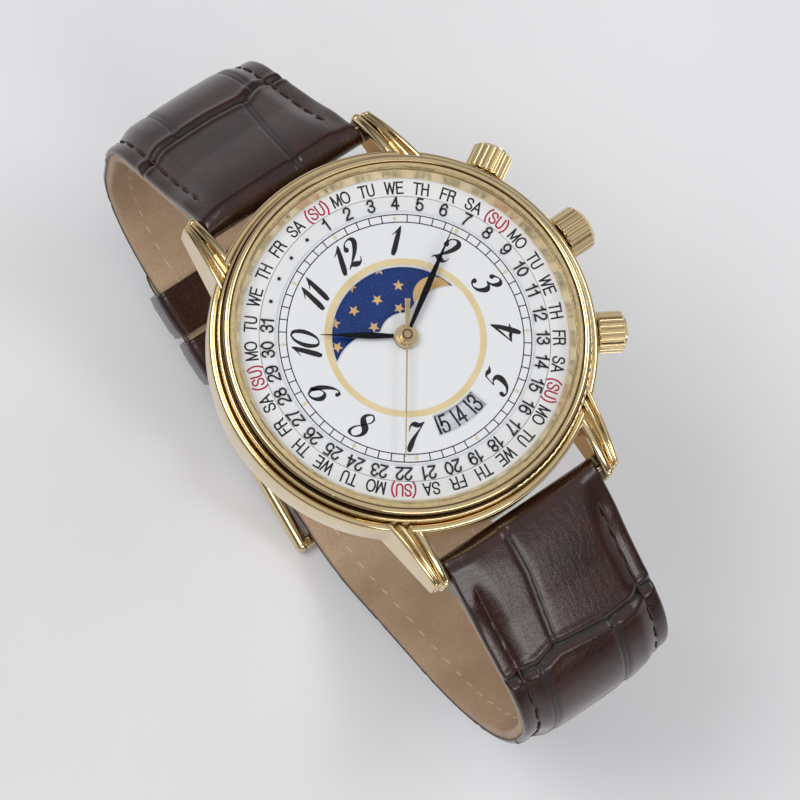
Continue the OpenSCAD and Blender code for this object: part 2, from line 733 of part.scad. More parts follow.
// The fluted collar round the moon button
module pusher_collar() {
    color(gold) radial(knob_angle) translate([0, 0, knob_start]) difference() {
        fluted(knob_d, knob_len, knob_flutes, 0.2);
        translate([0, 0, -cut]) cylinder(r = tube_d / 2, h = knob_len);
        translate([0, 0, tube_out]) cylinder(r = button_d / 2 + run_gap, h = knob_len);
    }
}

// A low dome on the end of a round button
module domed(r, length, rise) {
    dome_r = (r * r + rise * rise) / (2 * rise);
    intersection() {
        cylinder(r = r, h = length);
        translate([0, 0, length - dome_r]) sphere(r = dome_r);
    }
}

// The moon button with its stem and the flange that keeps it in
module moon_pusher() {
    head_z = knob_start + tube_out + button_travel + 0.1;
    color(gold) radial(knob_angle) {
        translate([0, 0, head_z]) domed(button_d / 2, knob_start + knob_len + button_out - head_z, 0.35);
        translate([0, 0, pusher_end]) cylinder(r = stem_d / 2, h = head_z - pusher_end);
        translate([0, 0, bore_r - fit_gap - 0.3]) cylinder(r = tube_d / 2, h = 0.3);
    }
}

// The spring under the button's head
module pusher_spring() {
    color(steel) radial(knob_angle) translate([0, 0, knob_start + tube_out])
        ring(button_d / 2 - 0.2, stem_d / 2 + 0.1, button_travel + 0.1);
}

// The knob that turns the weekday ring
module ring_knob() {
    color(gold) radial(-knob_angle) translate([0, 0, knob_start]) difference() {
        union() {
            fluted(knob_d, knob_len, knob_flutes, 0.2);
            domed(button_d / 2, knob_len + button_out, 0.35);
        }
        translate([0, 0, -cut]) cylinder(r = crown_hollow_r, h = cut + tube_out + 0.1);
        cylinder(r = stem_d / 2, h = knob_len - 0.3);
    }
}

// The knob's stem with the pinion under the weekday ring
module ring_knob_pinion() {
    inner = ring_pinion_x + ring_pinion_w;
    color(brass) radial(-knob_angle) {
        translate([0, 0, ring_pinion_x]) rotate([0, 0, 180])
            gear(ring_pinion_teeth, ring_pinion_r, ring_pinion_w, 0.2);
        translate([0, 0, ring_pinion_x]) cylinder(r = 0.9, h = ring_pinion_w, $fn = small_fn);
        translate([0, 0, inner]) cylinder(r = stem_d / 2, h = knob_start + knob_len - 0.3 - inner);
    }
}

// The weekday ring with its teeth below
module weekday_ring() {
    pitch = 360 / ring_teeth;
    tooth_w = ring_gear_r * PI * 2 / ring_teeth;
    color("white") {
        translate([0, 0, ring_face_z]) ring(ring_r, dial_d / 2 + 0.06, ring_t);
        for (i = [0:ring_teeth - 1]) rotate([0, 0, -knob_angle + (i + 0.5) * pitch])
            translate([ring_gear_r - 0.4, 0, ring_face_z]) rotate([90, 0, 90])
                linear_extrude(0.8) polygon([
                    [-0.2 * tooth_w, 0.02], [-0.12 * tooth_w, -ring_tooth_h],
                    [0.12 * tooth_w, -ring_tooth_h], [0.2 * tooth_w, 0.02]]);
    }
}

// The moon window's outline as a solid, grown by "wider" at its top
module moon_window(bottom, height, wider) {
    difference() {
        translate([0, 0, bottom])
            cylinder(r1 = moon_window_r, r2 = moon_window_r + wider, h = height);
        translate([-case_r, 1 - case_d, bottom - cut]) cube([case_d, case_d, height + 2 * cut]);
        translate([0, 0, bottom]) cylinder(r1 = moon_hub_r, r2 = moon_hub_r - wider, h = height);
        for (side = [-1, 1]) translate([side * moon_hump_x, -moon_hump_y, bottom])
            cylinder(r1 = moon_hump_r, r2 = moon_hump_r - wider, h = height);
    }
}

// The date window's outline as a solid, grown by "wider" at its top
module date_window(bottom, height, wider) {
    reach = 2 * date_window_r2;
    side = reach * tan(date_window_half);
    grow = 2 * wider;
    intersection() {
        difference() {
            translate([0, 0, bottom])
                cylinder(r1 = date_window_r2, r2 = date_window_r2 + wider, h = height);
            translate([0, 0, bottom]) cylinder(r1 = date_window_r1, r2 = date_window_r1 - wider, h = height);
        }
        translate([0, 0, bottom - cut]) linear_extrude(height + 2 * cut)
            polygon([[0, 0], [-side - grow, -reach], [side + grow, -reach]]);
    }
}

// The white dial with its lower calendar rim, windows and feet
module dial() {
    bevel_z = dial_z - window_bevel;
    color("whitesmoke") {
        difference() {
            rotate_extrude() polygon([
                [hour_pipe_r + 0.3, dial_seat], [dial_d / 2, dial_seat], [dial_d / 2, rim_face_z],
                [dial_middle_d / 2, rim_face_z], [dial_middle_d / 2, dial_z],
                [hour_pipe_r + 0.3, dial_z]]);
            moon_window(dial_seat - cut, dial_t + 2 * cut, 0);
            moon_window(bevel_z, window_bevel + 0.001, window_bevel);
            date_window(dial_seat - cut, dial_t + 2 * cut, 0);
            date_window(bevel_z, window_bevel + 0.001, window_bevel);
        }
        for (angle = [100, 280]) rotate([0, 0, angle]) translate([foot_r, 0, dial_seat - foot_h])
            cylinder(r = foot_pin_r, h = foot_h + dial_t / 2, $fn = small_fn);
    }
}

// The turning disc with the moons, on the calendar plate's neck
module moon_disc() {
    teeth = 118;
    color("royalblue") translate([0, 0, moon_disc_z])
        gear(teeth, moon_disc_r / (1 + 1.6 / teeth), moon_disc_t, neck_post_r + fit_gap);
}

// The date disc with 31 teeth inside
module date_disc() {
    root = date_window_r1 - 0.03;
    tip = root - 0.38;
    color("white") translate([0, 0, date_disc_z]) difference() {
        cylinder(r = date_disc_r, h = date_disc_t);
        translate([0, 0, -cut]) linear_extrude(1 + date_disc_t)
            polygon([for (i = [0:30]) for (c = [[root, -0.32], [root, 0.32], [tip, 0.42], [tip, 0.58]])
                let(a = (i + c[1]) * 360 / 31) [c[0] * cos(a), c[0] * sin(a)]]);
    }
}

// A leaf-shaped hand blade along +X
module leaf(length, start) {
    half = hand_w / 2;
    linear_extrude(hand_t) polygon([
        [start, half * 0.5], [length * 0.3, half * 0.85], [length * 0.42, half],
        [length * 0.55, half * 0.9], [length * 0.72, half * 0.5], [length * 0.86, half * 0.2],
        [length, half * 0.08], [length, -half * 0.08], [length * 0.86, -half * 0.2],
        [length * 0.72, -half * 0.5], [length * 0.55, -half * 0.9], [length * 0.42, -half],
        [length * 0.3, -half * 0.85], [start, -half * 0.5]]);
}

// The direction of a hand on the dial, clockwise from 12
module clock(share) {
    rotate([0, 0, 90 - 360 * share]) children();
}

// The hour hand on the hour pipe
module hour_hand() {
    color([0.2, 0.2, 0.22]) clock(shown_hour / 12) {
        translate([0, 0, dial_z + 0.42]) leaf(hour_len, hour_pipe_r + 0.1);
        translate([0, 0, dial_z + 0.3]) ring(1.12, hour_pipe_r, 0.28);
    }
}

// The minute hand on the centre wheel's tube
module minute_hand() {
    color([0.2, 0.2, 0.22]) clock(shown_minute / 60) {
        translate([0, 0, dial_z + 0.7]) leaf(minute_len, cannon_r + 0.1);
        translate([0, 0, dial_z + 0.62]) ring(0.85, cannon_r, 0.24);
    }
}

// The seconds hand with its counterweight and cap
module second_hand() {
    color(gold) clock(shown_second / 60) difference() {
        union() {
            translate([0, 0, dial_z + 0.98]) linear_extrude(hand_t) polygon([
                [-tail_len, 0.26], [-0.5, 0.18], [0.5, 0.09], [second_len, 0.06],
                [second_len, -0.06], [0.5, -0.09], [-0.5, -0.18], [-tail_len, -0.26]]);
            translate([0, 0, dial_z + 0.9]) cylinder(r = 0.6, h = 0.42);
        }
        translate([0, 0, dial_z + 0.9 - cut]) cylinder(r = second_arbor_r, h = cut + 0.3);
    }
}

// The plastic ring that centres the movement in the case
module movement_ring() {
    top = dial_seat - 0.02;
    trough_r = ring_gear_r - 0.5;
    color([0.85, 0.85, 0.82]) difference() {
        translate([0, 0, ledge_z - 0.25]) ring(bore_r - fit_gap, plate_d / 2 + fit_gap, top - ledge_z + 0.25);
        translate([0, 0, ring_face_z - ring_tooth_h - 0.1]) ring(bore_r + 1, trough_r, 1);
        for (angle = [-knob_angle, 0, knob_angle])
            radial(angle) translate([0, 0, plate_d / 2 - 1]) cylinder(r = stem_d / 2 + 0.1, h = 5);
        radial(-knob_angle) translate([0, 0, ring_pinion_x - 0.15])
            cylinder(r = ring_pinion_r + 0.35, h = 2);
        radial(knob_angle) translate([0, 0, bore_r - 1.1]) cylinder(r = tube_d / 2 + 0.1, h = 2);
        corrector_room(plate_d / 2 + 1.1);
    }
}

// The room round the corrector's tab, out to the given radius
module corrector_room(outer) {
    rotate([0, 0, knob_angle]) translate([plate_d / 2 - 0.75, -1.5, stem_z - 0.7])
        cube([outer - plate_d / 2 + 0.75, 3, 4]);
}

// The places of the calendar screws
module calendar_screw_places() {
    for (angle = [30, 120, 300]) rotate([0, 0, angle]) translate([6.3, 0, 0]) children();
}

// The places of the train bridge's screws
module bridge_screw_places() {
    for (place = [[20, 4.4], [152, 4.9], [240, 5]])
        rotate([0, 0, place[0]]) translate([place[1], 0, 0]) children();
}

// The movement's main plate
module main_plate() {
    disc_ledge = date_disc_z - 0.02;
    color(steel) difference() {
        union() {
            translate([0, 0, plate_z]) cylinder(r = plate_d / 2, h = plate_t);
            translate([0, 0, plate_top]) ring(plate_d / 2, date_disc_r + 0.1, plate_rim_h);
            translate([0, 0, plate_top]) ring(date_disc_r + 0.2, calendar_r + 0.2, disc_ledge - plate_top);
            calendar_screw_places() translate([0, 0, plate_top])
                cylinder(r = 0.7, h = calendar_z - plate_top, $fn = small_fn);
            bridge_screw_places() translate([0, 0, bridge_z + bridge_t])
                cylinder(r = 0.55, h = plate_z - bridge_z - bridge_t + 0.3, $fn = small_fn);
        }
        translate([0, 0, plate_z - cut]) cylinder(r = cannon_r + fit_gap, h = 4);
        calendar_screw_places() translate([0, 0, calendar_z - 1.2])
            cylinder(r = screw_r, h = 2, $fn = small_fn);
        bridge_screw_places() translate([0, 0, bridge_z]) cylinder(r = screw_r, h = 1.5, $fn = small_fn);
        for (place = [third_place, intermediate_place, rotor_place])
            translate([place[0], place[1], plate_z - cut])
                cylinder(r = pivot_r + run_gap, h = cut + 0.4, $fn = small_fn);
        for (place = [minute_place, date_place]) translate([place[0], place[1], plate_top - 0.5])
            cylinder(r = pivot_r + run_gap, h = 1, $fn = small_fn);
        for (angle = [100, 280]) rotate([0, 0, angle]) translate([foot_r, 0, dial_seat - foot_h - 0.1])
            cylinder(r = foot_pin_r + run_gap, h = 3, $fn = small_fn);
        radial(0) translate([0, 0, stem_start - 0.1]) cylinder(r = stem_d / 2 + run_gap, h = 12);
        radial(0) translate([0, 0, stem_start - 0.2])
            cylinder(r = 0.85, h = 1.3 + crown_travel);
        translate([fork_x - 0.2, -1.35, stem_z - 0.5]) cube([crown_travel + fork_t + 0.4, 2.7, 2]);
        corrector_room(plate_d / 2 + 1);
        intersection() {
            translate([0, 0, moon_disc_z - 0.04]) ring(plate_d / 2 + 1, date_disc_r - 1, 1);
            translate([0, 0, plate_z]) rotate([0, 0, 22]) rotate_extrude(angle = 36) square([20, 5]);
        }
        translate([corrector_pivot[0], corrector_pivot[1], moon_disc_z - 1])
            cylinder(r = 0.4 - run_gap, h = 2, $fn = small_fn);
    }
}

// The plate that holds the motion work down and carries the moon disc
module calendar_plate() {
    color(brass) difference() {
        union() {
            translate([0, 0, calendar_z]) cylinder(r = calendar_r, h = calendar_t);
            translate([0, 0, calendar_z]) cylinder(r = 1.6, h = moon_disc_z - 0.02 - calendar_z);
            translate([0, 0, calendar_z]) cylinder(r = neck_post_r, h = dial_seat - 0.05 - calendar_z);
        }
        translate([0, 0, calendar_z - cut]) cylinder(r = hour_pipe_r + fit_gap, h = 3);
        translate([date_place[0], date_place[1], calendar_z - cut]) cylinder(r = 0.7, h = 2);
        calendar_screw_places() translate([0, 0, calendar_z - cut])
            cylinder(r = screw_r, h = 2, $fn = small_fn);
    }
}

// One small cheese-head screw pointing down from its head's seat
module screw() {
    difference() {
        union() {
            cylinder(r = 0.5, h = 0.24, $fn = small_fn);
            translate([0, 0, -1]) cylinder(r = screw_r, h = 1, $fn = small_fn);
        }
        translate([-1, -0.06, 0.12]) cube([2, 0.12, 1]);
    }
}

// The three calendar screws and the three bridge screws
module movement_screws() {
    color(steel) {
        calendar_screw_places() translate([0, 0, calendar_z + calendar_t]) screw();
        bridge_screw_places() translate([0, 0, bridge_z]) rotate([180, 0, 0]) screw();
    }
}

// The bridge under the train, which holds the wheels' lower pivots
module train_bridge() {
    color(brass) difference() {
        union() {
            translate([0, 0, bridge_z]) cylinder(r = 4.2, h = bridge_t);
            bridge_screw_places() translate([0, 0, bridge_z]) cylinder(r = 0.9, h = bridge_t);
            translate([rotor_place[0], rotor_place[1], bridge_z]) cylinder(r = 0.9, h = bridge_t);
            rotate([0, 0, atan2(rotor_place[1], rotor_place[0])]) translate([0, -0.7, bridge_z])
                cube([norm(rotor_place), 1.4, bridge_t]);
        }
        translate([battery_place[0], battery_place[1], 0])
            cylinder(r = battery_d / 2 + 0.15, h = 3);
        bridge_screw_places() translate([0, 0, bridge_z - cut])
            cylinder(r = screw_r, h = 2, $fn = small_fn);
        for (place = [[0, 0], third_place, intermediate_place, rotor_place])
            translate([place[0], place[1], bridge_z - cut])
                cylinder(r = pivot_r + run_gap, h = 2, $fn = small_fn);
    }
}

// The button cell
module battery() {
    color(steel) translate([battery_place[0], battery_place[1], plate_z - 0.1 - battery_t])
        rotate_extrude() polygon([
            [0, 0], [battery_d / 2 - 0.15, 0], [battery_d / 2, 0.15], [battery_d / 2, battery_t - 0.5],
            [battery_d / 2 - 0.35, battery_t - 0.3], [battery_d / 2 - 0.35, battery_t], [0, battery_t]]);
}

// The strap-shaped spring that holds the battery
module battery_clip() {
    reach = battery_d / 2 + 0.1;
    clip_t = 0.2;
    low = plate_z - 0.1 - battery_t - clip_t;
    color("goldenrod") translate([battery_place[0], battery_place[1], low])
        rotate([0, 0, atan2(battery_place[1], battery_place[0])]) {
            translate([-1.2, -reach - clip_t, 0]) cube([2.4, 2 * (reach + clip_t), clip_t]);
            for (side = [0, 1]) mirror([0, side, 0])
                translate([-1.2, reach, 0]) cube([2.4, clip_t, plate_z - low]);
        }
}

// The circuit board with its sealed chip
module circuit_board() {
    color("darkgreen") {
        translate([0, 0, plate_z - board_t]) rotate([0, 0, -35])
            rotate_extrude(angle = 100) translate([7.6, 0]) square([4.6, board_t]);
        rotate([0, 0, 45]) translate([9.8, 0, plate_z - board_t - 0.5]) cylinder(r = 1.2, h = 0.6);
    }
}

// The crystal's little tin can on the board
module quartz_can() {
    color(steel) translate([9.9, -3, plate_z - board_t - can_r - 0.02]) rotate([-90, 0, 0])
        cylinder(r = can_r, h = 5);
}

// The coil on its core
module coil() {
    color([0.72, 0.35, 0.2]) translate([-2.2, 8.6, coil_z]) {
        for (x = [-3.8, 3.4]) translate([x, 0, 0]) rotate([0, 90, 0]) cylinder(r = 0.95, h = 0.4);
        translate([-3.5, 0, 0]) rotate([0, 90, 0]) cylinder(r = 0.8, h = 7);
        translate([-4.9, -0.5, -0.15]) cube([9.8, 1, 0.3]);
    }
}

// The stator, which leads the coil's field round the rotor
module stator() {
    color(steel) translate([0, 0, coil_z + 0.15]) difference() {
        union() {
            translate([rotor_place[0], rotor_place[1], 0]) cylinder(r = 1.15, h = stator_t);
            linear_extrude(stator_t) polygon([
                [-7.1, 9.1], [-7.1, 8.1], rotor_place + [-1, -0.4], rotor_place + [1, -0.4],
                [2.7, 8.1], [2.7, 9.1], [1.7, 9.1], [1.7, 7.4], rotor_place + [0.3, 1.6],
                rotor_place + [-0.3, 1.6], [-6.1, 7.4], [-6.1, 9.1]]);
        }
        translate([rotor_place[0], rotor_place[1], -cut]) cylinder(r = 0.85, h = 2);
    }
}

// A wheel's arbor with thin pivots at both ends, from z "low" to "high"
module arbor(low, high, shoulder_low, shoulder_high) {
    translate([0, 0, low]) cylinder(r = pivot_r, h = high - low, $fn = small_fn);
    translate([0, 0, shoulder_low])
        cylinder(r = 0.17, h = shoulder_high - shoulder_low, $fn = small_fn);
}

// The rotor: a round magnet and its pinion
module rotor() {
    color("dimgray") translate([rotor_place[0], rotor_place[1], 0]) {
        arbor(train_low, train_high, train_low + 0.3, plate_z - 0.06);
        translate([0, 0, middle_level + 0.05]) cylinder(r = 0.65, h = 0.3, $fn = small_fn);
        translate([0, 0, pinion_level]) gear(6, 0.24, 0.25, pivot_r, 290);
    }
}

// The intermediate wheel between the rotor and the seconds wheel
module intermediate_wheel() {
    color(brass) translate([intermediate_place[0], intermediate_place[1], 0]) {
        arbor(train_low, train_high, train_low + 0.3, plate_z - 0.06);
        translate([0, 0, pinion_level]) gear(45, rotor_distance - 0.24, wheel_t, pivot_r, 110 + 4);
        translate([0, 0, middle_level - 0.02]) gear(8, intermediate_distance / 5, 0.22, pivot_r, 300);
    }
}

// The seconds wheel, its pinion and its long arbor
module seconds_wheel() {
    color(brass) {
        translate([0, 0, train_low]) cylinder(r = pivot_r, h = 1, $fn = small_fn);
        translate([0, 0, pinion_level - 0.1])
            cylinder(r = second_arbor_r, h = dial_z + 1.2 - pinion_level + 0.1);
        translate([0, 0, middle_level])
            gear(32, intermediate_distance * 0.8, wheel_t, pivot_r, 120 + 180 / 32);
        translate([0, 0, pinion_level]) gear(8, third_distance * 8 / 68, 0.22, pivot_r, -60);
    }
}

// The third wheel
module third_wheel() {
    color(brass) translate([third_place[0], third_place[1], 0]) {
        arbor(train_low, train_high, train_low + 0.3, plate_z - 0.06);
        translate([0, 0, pinion_level]) gear(60, third_distance * 60 / 68, wheel_t, pivot_r, 120 + 3);
        translate([0, 0, top_level - 0.02]) gear(8, third_distance / 9, 0.25, pivot_r, 120);
    }
}

// The centre wheel with the tube that carries the minute hand
module centre_wheel() {
    color(brass) difference() {
        union() {
            translate([0, 0, top_level])
                gear(64, third_distance * 8 / 9, wheel_t, cannon_r, -60 + 180 / 64);
            translate([0, 0, top_level]) cylinder(r = cannon_r, h = dial_z + 0.84 - top_level);
            translate([0, 0, cannon_level]) gear(12, minute_distance / 4, 0.3, cannon_r - 0.05, 0);
        }
        translate([0, 0, top_level - cut]) cylinder(r = second_arbor_r + fit_gap, h = 9);
    }
}

// The minute wheel and its pinion
module minute_wheel() {
    color(brass) translate([minute_place[0], minute_place[1], 0]) {
        arbor(plate_top - 0.4, calendar_z - 0.05, plate_top + 0.04, calendar_z - 0.05);
        translate([0, 0, cannon_level + 0.05])
            gear(36, minute_distance * 0.75, wheel_t, pivot_r, 180 + 5);
        translate([0, 0, hour_level - 0.04]) gear(10, hour_unit * 5, 0.26, pivot_r, 180);
    }
}

// The hour wheel with the pipe that carries the hour hand
module hour_wheel() {
    color(brass) difference() {
        union() {
            translate([0, 0, hour_level]) gear(40, hour_unit * 20, wheel_t, hour_pipe_r - 0.1, 4.5);
            translate([0, 0, hour_level]) cylinder(r = hour_pipe_r, h = dial_z + 0.56 - hour_level);
        }
        translate([0, 0, hour_level - cut]) cylinder(r = cannon_r + fit_gap, h = 5);
        translate([0, 0, cannon_level - cut]) cylinder(r = 0.72, h = cut + 0.34);
    }
}

// The wheel that turns once a day, with its finger for the date disc
module date_driving_wheel() {
    color(brass) translate([date_place[0], date_place[1], 0]) {
        arbor(plate_top - 0.4, plate_top + 0.5, plate_top + 0.04, plate_top + 0.5);
        translate([0, 0, hour_level]) gear(80, hour_unit * 40, wheel_t, pivot_r, 20 + 2.25);
        translate([0, 0, plate_top + 0.2])
            cylinder(r = 0.55, h = date_disc_z + date_disc_t - plate_top - 0.2, $fn = small_fn);
        translate([0, 0, date_disc_z]) rotate([0, 0, 20]) linear_extrude(date_disc_t)
            polygon([[0, 0.3], [1.8, 0.16], [2.3, 0.1], [2.3, -0.1], [1.8, -0.16], [0, -0.3]]);
    }
}

// The spring finger that keeps the date disc in step
module date_jumper() {
    color(steel) rotate([0, 0, 250]) translate([0, 0, calendar_z + calendar_t]) {
        translate([5.6, 0, 0]) cylinder(r = 0.55, h = 0.22, $fn = small_fn);
        linear_extrude(0.2) polygon([[5.4, 0], [5.4, 0.4], [6.9, 1.9], [7.26, 2], [7.1, 1.6], [6, 0]]);
    }
}

// The lever from the moon button to the moon disc's teeth
module corrector_bar(from, to, width) {
    run = to - from;
    translate([from[0], from[1], moon_disc_z]) rotate([0, 0, atan2(run[1], run[0])])
        translate([0, -width / 2, 0]) cube([norm(run), width, moon_disc_t]);
}

module moon_corrector() {
    tab_r = pusher_end - 0.35;
    tab = tab_r * [cos(knob_angle), sin(knob_angle)];
    tip = (moon_disc_r + 0.15) * [cos(42), sin(42)];
    color(steel) {
        corrector_bar(corrector_pivot, tab, 0.6);
        corrector_bar(corrector_pivot, tip, 0.5);
        translate([corrector_pivot[0], corrector_pivot[1], moon_disc_z])
            cylinder(r = 0.7, h = moon_disc_t, $fn = small_fn);
        translate([corrector_pivot[0], corrector_pivot[1], moon_disc_z - 0.9])
            cylinder(r = 0.4 - 2 * run_gap, h = 0.95, $fn = small_fn);
        rotate([0, 0, knob_angle]) translate([tab_r, -0.5, stem_z - 0.3])
            cube([0.3, 1, moon_disc_z + moon_disc_t - stem_z + 0.3]);
    }
}

// The space that the strap's tapered width fills
module strap_taper() {
    wide = strap_w / 2;
    narrow = strap_end_w / 2;
    rotate([90, 0, 0]) translate([0, 0, -2 * case_d]) linear_extrude(4 * case_d) polygon([
        [-wide, case_d], [-wide, 0], [-narrow, -bar_depth], [-narrow, -2 * bar_depth],
        [narrow, -2 * bar_depth], [narrow, -bar_depth], [wide, 0], [wide, case_d]]);
}

// The round end of a strap piece on its bar, as a bar along X
module along_bar(y, z, r, width) {
    translate([-width / 2, y, z]) rotate([0, 90, 0]) cylinder(r = r, h = width);
}

// One adjustment hole square to the strap, in the frame of the loop's back
module hole(y, z, out) {
    translate([0, y, z]) rotate([out - 90, 0, 0]) translate([0, 0, -1.5 * strap_t])
        cylinder(d = hole_d, h = 3 * strap_t, $fn = small_fn);
}

// The adjustment holes: two on the tail, the longer one in use, two behind it and two on the slope
module adjustment_holes() {
    heel_turned = (2 * hole_step - flat_path) / heel_r * 180 / PI;
    heel_place = heel_c + heel_r * direction(270 - heel_turned);
    slope_start = heel_c + heel_r * direction(heel_out);
    on_back() {
        for (k = [1, 2]) hole(used_hole_y + k * hole_step, tail_level, 270);
        hole(used_hole_y - hole_step, (heel_level + tail_level) / 2, 270);
        hole(heel_place[0], heel_place[1], 270 - heel_turned);
        for (k = [3, 4]) {
            place = slope_start + (k * hole_step - flat_path - heel_path) * direction(heel_out - 90);
            hole(place[0], place[1], heel_out);
        }
        translate([0, used_hole_y, tail_level - 1.5 * strap_t]) linear_extrude(3 * strap_t) union() {
            for (y = [-0.2, 1]) translate([0, y]) circle(d = tang_w + 0.6, $fn = small_fn);
            translate([-tang_w / 2 - 0.3, -0.2]) square([tang_w + 0.6, 1.2]);
        }
    }
}

// The slot in the buckle piece's end for the tang
module tang_slot() {
    on_back() translate([-tang_w / 2 - soft_gap, -2, -strap_t])
        cube([tang_w + 2 * soft_gap, 3.7, 2 * strap_t]);
}

// The buckle piece's leather, from the 12 o'clock lugs to the buckle
module strap_upper() {
    color(leather) difference() {
        intersection() {
            union() {
                layer(upper_line, -skin, half_t, lug_gap);
                along_bar(bar_y, bar_z, loop_end_r, lug_gap);
                along_bar(bar_back[0], bar_back[1], buckle_end_r, lug_gap);
                cushion(upper_pad_line);
            }
            strap_taper();
        }
        along_bar(bar_y, bar_z, bar_tube_d / 2 + fit_gap, 2 * lug_gap);
        along_bar(bar_back[0], bar_back[1], buckle_bar_d / 2 + fit_gap, 2 * lug_gap);
        tang_slot();
    }
}

// The buckle piece's lining
module strap_upper_lining() {
    color(tan) intersection() {
        difference() {
            layer(upper_line, -half_t, -skin, lug_gap);
            along_bar(bar_y, bar_z, loop_end_r, 2 * lug_gap);
            along_bar(bar_back[0], bar_back[1], buckle_end_r, 2 * lug_gap);
        }
        strap_taper();
    }
}

// The long piece's leather, from the 6 o'clock lugs through the buckle and the keepers
module strap_lower() {
    color(leather) difference() {
        intersection() {
            union() {
                layer(lower_line, -skin, half_t, lug_gap);
                along_bar(-bar_y, bar_z, loop_end_r, lug_gap);
                cushion(lower_pad_line);
            }
            strap_taper();
        }
        along_bar(-bar_y, bar_z, bar_tube_d / 2 + fit_gap, 2 * lug_gap);
        adjustment_holes();
    }
}

// The long piece's lining
module strap_lower_lining() {
    color(tan) intersection() {
        difference() {
            layer(lower_line, -half_t, -skin, lug_gap);
            along_bar(-bar_y, bar_z, loop_end_r, 2 * lug_gap);
            adjustment_holes();
        }
        strap_taper();
    }
}

// One keeper round both layers of the strap, starting at y
module keeper(y) {
    low = tail_level - half_t - soft_gap;
    high = half_t + soft_gap;
    side = strap_end_w / 2 + soft_gap;
    color(leather) on_back() translate([0, y, 0]) difference() {
        translate([-side - keeper_t, 0, low - keeper_t])
            cube([2 * (side + keeper_t), keeper_w, high - low + 2 * keeper_t]);
        translate([-side, -cut, low]) cube([2 * side, keeper_w + 2 * cut, high - low]);
    }
}

// The keeper that is sewn in place, and the one that slides
module fixed_keeper() {
    keeper(fixed_keeper_y);
}

module sliding_keeper() {
    keeper(fixed_keeper_y - keeper_w - keeper_gap);
}

// The gold frame of the buckle with its two eyes
module buckle_frame() {
    color(gold) on_back() difference() {
        rotate([frame_lean, 0, 0]) {
            translate([-side_x, -frame_len, 0]) rotate([0, 90, 0])
                cylinder(r = rod_r, h = 2 * side_x);
            for (side = [-1, 1]) {
                translate([side * side_x, -frame_len, 0]) sphere(r = corner_r);
                translate([side * side_x, -frame_len, 0]) rotate([-90, 0, 0])
                    cylinder(r = rod_r, h = frame_len - 0.3);
                translate([side * side_x - eye_w / 2, 0, 0]) rotate([0, 90, 0])
                    cylinder(r = eye_r, h = eye_w);
            }
        }
        along_bar(0, 0, bar_pin_d / 2 + run_gap, 3 * lug_gap);
        translate([-tang_w / 2 - 0.15, rod_y - 2, rod_z - rod_r - 1])
            cube([tang_w + 0.3, 4, 1 + tang_t + 0.1 + fit_gap]);
    }
}

// The tang, curled round the bar and lying in the frame's notch
module buckle_tang() {
    low = rod_z - rod_r + 0.1;
    knee = [used_hole_y - 0.9, tail_level - half_t - 0.1 - tang_t];
    color(gold) on_back() difference() {
        union() {
            along_bar(0, 0, eye_r - 0.2, tang_w);
            translate([-tang_w / 2, 0, 0]) along_x() linear_extrude(tang_w) polygon([
                [-0.9, -0.2], [-0.2, -0.9],
                [knee[0] + 0.9, knee[1] + 0.1], [knee[0] + 0.4, knee[1]],
                [rod_y + 2, low], [rod_y - 1.4, low], [rod_y - 1.6, low + 0.4],
                [rod_y - 1.4, low + tang_t], [rod_y + 2, low + tang_t],
                [knee[0] - 0.2, knee[1] + tang_t]]);
        }
        along_bar(0, 0, buckle_bar_d / 2 + run_gap, 2 * lug_gap);
    }
}

// The bar that carries the buckle and the tang
module buckle_bar() {
    color(steel) {
        along_bar(bar_back[0], bar_back[1], buckle_bar_d / 2, strap_end_w);
        along_bar(bar_back[0], bar_back[1], bar_pin_d / 2, 2 * (side_x + rod_r - 0.2));
    }
}

// The places of the two spring bars
module spring_bars() {
    for (side = [-1, 1]) translate([0, side * bar_y, bar_z]) rotate([0, 90, 0]) children();
}

// The spring bars' tubes, each with its fixed pin at 9 o'clock
module spring_bar_tubes() {
    color(steel) spring_bars() {
        difference() {
            translate([0, 0, -tube_half]) cylinder(r = bar_tube_d / 2, h = 2 * tube_half, $fn = small_fn);
            translate([0, 0, 1 - tube_half])
                cylinder(r = bar_pin_d / 2 + 0.15, h = tube_half + flange_x - 1, $fn = small_fn);
            cylinder(r = bar_pin_d / 2 + run_gap, h = lug_gap, $fn = small_fn);
        }
        translate([0, 0, -pin_reach]) cylinder(r = bar_pin_d / 2, h = pin_reach - tube_half, $fn = small_fn);
    }
}

// The sprung pin of one spring bar
module bar_pin(y) {
    color(steel) translate([0, y, bar_z]) rotate([0, 90, 0]) {
        translate([0, 0, flange_x]) cylinder(r = bar_pin_d / 2, h = pin_reach - flange_x, $fn = small_fn);
        translate([0, 0, flange_x - 0.5])
            cylinder(r = bar_pin_d / 2 + 0.15 - run_gap, h = 0.5, $fn = small_fn);
    }
}

module upper_bar_pin() {
    bar_pin(bar_y);
}

module lower_bar_pin() {
    bar_pin(-bar_y);
}

// The springs inside the spring bars
module bar_springs() {
    color(steel) spring_bars() translate([0, 0, 1 - tube_half])
        ring(bar_pin_d / 2 + 0.05, 0.25, tube_half + flange_x - 1.5);
}

